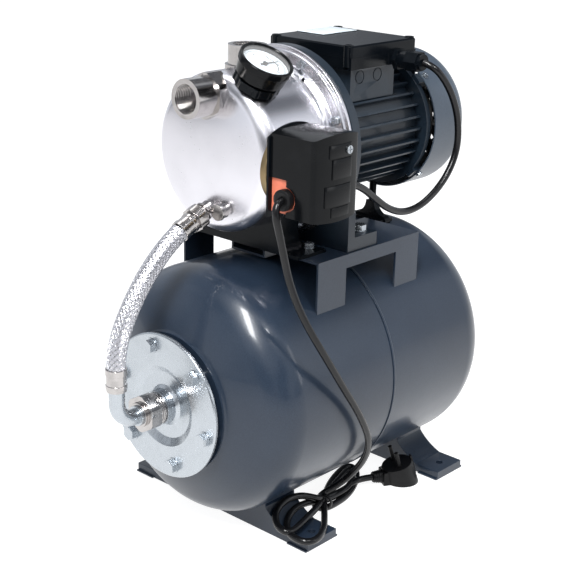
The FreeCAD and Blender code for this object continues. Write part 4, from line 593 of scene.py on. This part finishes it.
HOSE_DIAMETER = 20.0
HOSE_CORE_DIAMETER = HOSE_DIAMETER - 1.6
HOSE_POINTS = [
    (-281.0, 0, 211.0), (-280.8, 0, 223.0), (-276.5, 0, 239.5), (-268.0, 0, 258.0),
    (-256.0, 0, 277.0), (-241.5, 0, 295.5), (-226.0, 0, 311.0), (-210.4, 0, 324.0),
    (-195.0, 0, 333.3)]
CABLE_DIAMETER = 7.6
MOTOR_CABLE_POINTS = [
    (71.5, -94, 487), (74, -106, 484), (85, -113, 470), (101, -115, 448), (113, -115, 421),
    (116, -114, 391), (104, -113, 366), (82, -112, 347), (55, -111, 335), (26, -111, 334),
    (-2, -112, 344), (-26, -113, 360), (-50, -115, 376), (-74, -116, 385), (-96.0, -115, 386)]
MAINS_CABLE_POINTS = [
    (-172.1, -115.7, 384.3), (-180, -117, 382), (-183, -119, 372), (-180, -121.5, 355),
    (-176, -124, 333), (-172.5, -128, 308), (-166, -134, 283), (-156, -140.5, 258),
    (-142, -146, 233), (-124, -149, 205), (-107, -150, 180), (-89, -150, 156), (-72, -148, 132),
    (-57, -144, 110), (-45, -135, 88), (-37, -122, 66), (-34, -106, 45), (-40, -92, 28),
    (-52, -82, 19)]
HANK_POINTS = [
    (-62, -84, 19), (-71, -90, 21), (-80, -84, 25), (-92, -79, 29), (-110, -76, 30),
    (-131, -80, 26), (-146, -94, 21), (-150, -111, 19), (-139, -114, 18), (-107, -105, 18),
    (-80, -96, 17), (-60, -86, 15), (-50, -79, 14), (-27, -72, 13), (4, -61, 12), (20, -55, 11),
    (22, -62, 10), (9, -73, 9), (-16, -83, 9), (-40, -85, 10), (-60, -86, 12), (-83, -83, 19),
    (-108, -84, 20), (-131, -95, 17), (-147, -115, 16), (-145, -137, 15), (-127, -139, 14),
    (-105, -127, 12), (-82, -108, 12), (-65, -92, 13), (-48, -79, 14), (-16, -60, 11),
    (20, -46, 9), (38, -45, 7), (34, -60, 5), (6, -78, 4.5), (-20, -88, 4.5), (-40, -91, 5),
    (-60, -92, 6), (-72, -87, 9), (-68, -80, 13), (-57, -81, 14)]
PLUG_TAIL_POINTS = [
    (-46, -84, 12.5), (-31, -82.5, 10), (-15, -80.4, 8.2), (2, -77.2, 8.4), (17.3, -77.2, 8.6),
    (30.3, -84.7, 8.6)]
BRAID_CARRIERS = 12
BRAID_WIRES = 4
BRAID_TURNS = 2.2
BRAID_STEPS = 160
WIRE_RADIUS = 0.36
WIRE_SPACING = 0.19           # as a share of the space between two carriers
WIRE_DEPTH = 0.65             # of the wires' middle below the hose's outside
WIRE_WAVE = 0.30
TIE_AT = (-60, -88, 12.5)
TIE_AXIS = (0.9, 0.42, -0.05)
PLUG_AT = (62.0, -103.0)
PLUG_TURN = math.radians(150.0)
RELIEF_OUT = 22.6
RELIEF_Z = 8.6
RELIEF_RIBS = 5
RELIEF_BORE = 4.0


def cord(name, points, diameter, node, replaced=(), finish="cable_black"):
    """Round cord along a smooth spline, from control points in millimetres."""
    curve = bpy.data.curves.new(name, "CURVE")
    curve.dimensions = "3D"
    spline = curve.splines.new("NURBS")
    spline.points.add(len(points) - 1)
    for control, point in zip(spline.points, points):
        control.co = (*(Vector(point) * MM), 1.0)
    spline.order_u = 3
    spline.use_endpoint_u = True
    spline.resolution_u = 8
    curve.bevel_resolution = 6
    curve.use_fill_caps = True
    curve.resolution_u = 8
    route = route_of(curve)
    curve.bevel_depth = diameter * MM / 2
    made = piece(name, curve, node, finish, replaced)
    length = sum((b - a).length for a, b in zip(route, route[1:]))
    return made, route, length


def route_of(curve):
    """Points along a curve that has no bevel yet."""
    mesh = mesh_of(curve.copy())
    points = [vert.co.copy() for vert in mesh.vertices]
    bpy.data.meshes.remove(mesh)
    return points


def braid(route):
    """Wires wound both ways over the hose, which rise and fall where they cross."""
    lengths = [0.0]
    for a, b in zip(route, route[1:]):
        lengths.append(lengths[-1] + (b - a).length)
    side = Vector((0, 1, 0))
    ups = []
    for i in range(len(route)):
        ahead = (route[min(i + 1, len(route) - 1)] - route[max(i - 1, 0)]).normalized()
        ups.append(ahead.cross(side).normalized())

    def on_hose(share, angle, radius):
        want = share * lengths[-1]
        i = max(k for k in range(len(lengths) - 1) if lengths[k] <= want + 1e-9)
        t = (want - lengths[i]) / (lengths[i + 1] - lengths[i])
        at = route[i].lerp(route[i + 1], t)
        up = ups[i].lerp(ups[i + 1], t)
        return at + (side * math.cos(angle) + up * math.sin(angle)) * radius * MM

    def wire(way, carrier, number):
        start = math.tau * (carrier + number * WIRE_SPACING) / BRAID_CARRIERS
        points = []
        for k in range(BRAID_STEPS + 1):
            share = k / BRAID_STEPS
            wave = math.sin(math.pi * (share * BRAID_TURNS * BRAID_CARRIERS + carrier))
            radius = HOSE_DIAMETER / 2 - WIRE_DEPTH + WIRE_WAVE * way * wave
            points.append(on_hose(share, start + way * math.tau * BRAID_TURNS * share, radius))
        return points

    wires = [wire(way, carrier, number) for way in (-1, 1) for carrier in range(BRAID_CARRIERS)
             for number in range(BRAID_WIRES)]
    strand("hose_braid", wires, WIRE_RADIUS, "braided_hose", "steel_braid", sides=1)


def make_tie():
    """Slim band around the hank."""
    outline = eased([(7.6, -2.4), (9.4, -2.4, 0.8), (9.9, 0, 1.0), (9.4, 2.4, 0.8), (7.6, 2.4)])
    return turned("tie_band", outline, TIE_AT, TIE_AXIS, "cord_tie", 40, replaced=("cord_tie",))


def make_cords():
    made, route, length = cord("hose", HOSE_POINTS, HOSE_CORE_DIAMETER, "braided_hose", ("braided_hose",),
                               "core_steel")
    braid(route)
    made, route, length = cord("motor_lead", MOTOR_CABLE_POINTS, CABLE_DIAMETER, "motor_cable",
                               ("motor_cable",))
    along = [softened("mains_plug", 0.9, 25, 3), make_relief(), make_tie()]
    made, route, length = cord("mains_lead", MAINS_CABLE_POINTS + HANK_POINTS + PLUG_TAIL_POINTS,
                               CABLE_DIAMETER, "mains_cable", ("mains_cable", "cord_hank"))


def make_relief():
    """Ribs around the strain relief of the plug, slimmer towards the cord."""
    outline = [(RELIEF_BORE, 0.0)]
    for i in range(RELIEF_RIBS):
        radius = 8.3 - 0.42 * i
        start = 0.4 + 2.7 * i
        outline += [(radius - 1.1, start), (radius, start + 0.5), (radius, start + 1.6),
                    (radius - 1.1, start + 2.1)]
    outline.append((RELIEF_BORE, 13.6))
    way = (math.cos(PLUG_TURN), math.sin(PLUG_TURN), 0)
    origin = (PLUG_AT[0] + way[0] * RELIEF_OUT, PLUG_AT[1] + way[1] * RELIEF_OUT, RELIEF_Z)
    return turned("plug_relief", outline, origin, way, "mains_plug", 40)


# ---------------------------------------------------------------- stage

FLOOR_SIZE = 14
FLOOR_GAP = 0.0003
WHITE = (1.0, 1.0, 1.0, 1.0)
DARK_PATCH = (0.13, 0.14, 0.16, 1.0)
LIGHT_PATCH = (0.86, 0.90, 0.96, 1.0)
# name, place, point it faces, width and height in metres, power in watts
LIGHTS = (
    ("window", (-0.80, -0.46, 1.44), (-0.16, -0.08, 0.25), (0.24, 0.84), 30),
    ("small_window", (-0.18, -0.92, 1.36), (-0.16, -0.10, 0.24), (0.10, 0.22), 5.0),
    ("front_soft", (-1.9, 0.1, 0.8), (-0.1, 0, 0.35), (1.2, 1.2), 1.6),
    ("top_soft", (0.3, 0.5, 2.0), (0, 0, 0.3), (1.2, 0.8), 9),
    ("side_strip", (0.9, -1.5, 0.8), (0.05, 0, 0.3), (0.25, 1.0), 2.5))


def make_stage():
    bpy.ops.mesh.primitive_plane_add(size=FLOOR_SIZE, location=(0, 0, CAD_BOX[0][2] - FLOOR_GAP))
    floor = bpy.context.object
    floor.name = "floor"
    white = Finish("floor_white", (0.34, 0.34, 0.34), 0.9, Emission_Color=(1.0, 1.0, 1.0),
                   Emission_Strength=0.92, Specular_IOR_Level=0.0)
    floor.data.materials.append(white.material)


def make_world():
    """Soft light and dark patches for the metal to mirror, in front of a white background."""
    world = bpy.data.worlds.new("studio")
    bpy.context.scene.world = world
    world.use_nodes = True
    nodes = world.node_tree.nodes
    links = world.node_tree.links
    around = nodes.new("ShaderNodeTexCoord")
    patches = nodes.new("ShaderNodeTexNoise")
    patches.inputs["Scale"].default_value = 1.7
    patches.inputs["Detail"].default_value = 1.0
    levels = nodes.new("ShaderNodeValToRGB")
    dark, bright = levels.color_ramp.elements
    dark.position = 0.40
    dark.color = DARK_PATCH
    bright.position = 0.56
    bright.color = LIGHT_PATCH
    soft = nodes["Background"]
    soft.inputs["Strength"].default_value = 1.0
    seen = nodes.new("ShaderNodeBackground")
    seen.inputs["Color"].default_value = WHITE
    either = nodes.new("ShaderNodeMixShader")
    rays = nodes.new("ShaderNodeLightPath")
    links.new(around.outputs["Generated"], patches.inputs["Vector"])
    links.new(patches.outputs[0], levels.inputs[0])
    links.new(levels.outputs["Color"], soft.inputs["Color"])
    links.new(rays.outputs["Is Camera Ray"], either.inputs[0])
    links.new(soft.outputs[0], either.inputs[1])
    links.new(seen.outputs[0], either.inputs[2])
    links.new(either.outputs[0], nodes["World Output"].inputs["Surface"])


def make_lights():
    for name, at, towards, (width, height), power in LIGHTS:
        lamp = bpy.data.lights.new(name, "AREA")
        lamp.shape = "RECTANGLE"
        lamp.size = width
        lamp.size_y = height
        lamp.energy = power
        lamp.spread = math.pi
        made = bpy.data.objects.new(name, lamp)
        made.location = at
        made.rotation_euler = (Vector(at) - Vector(towards)).to_track_quat("Z", "Y").to_euler()
        bpy.context.scene.collection.objects.link(made)


CAMERA_AT = (-1.0414, -0.9075, 0.7013)
CAMERA_LOOKS_AT = (-0.02794, 0.0, 0.23258)
CAMERA_LENS = 80.05
CAMERA_ROLL = 1.43


def make_camera():
    back = (Vector(CAMERA_AT) - Vector(CAMERA_LOOKS_AT)).normalized()
    roll = Quaternion((0, 0, 1), math.radians(CAMERA_ROLL))
    lens = bpy.data.cameras.new("camera")
    lens.lens = CAMERA_LENS
    lens.sensor_width = 36.0
    made = bpy.data.objects.new("camera", lens)
    made.location = CAMERA_AT
    made.rotation_euler = (back.to_track_quat("Z", "Y") @ roll).to_euler()
    bpy.context.scene.collection.objects.link(made)
    bpy.context.scene.camera = made


MADE_ELSEWHERE = {
    "braided_hose", "motor_cable", "mains_cable", "cord_hank", "cord_tie", "mains_plug",
    "tank_front_shell", "tank_rear_shell", "tank_feet", "platform", "hex_reducer", "pump_casing",
    "gauge_case", "switch_cover", "terminal_lid", "terminal_box"}


def main():
    make_camera()
    make_cords()
    for node in SLOT_OF:
        if node not in MADE_ELSEWHERE:
            softened(node)
    make_tank()
    make_reducer()
    make_casing()
    make_gauge()
    make_switch()
    make_terminal_box()
    make_stage()
    make_world()
    make_lights()
    bpy.context.scene.view_settings.view_transform = "Standard"


main()
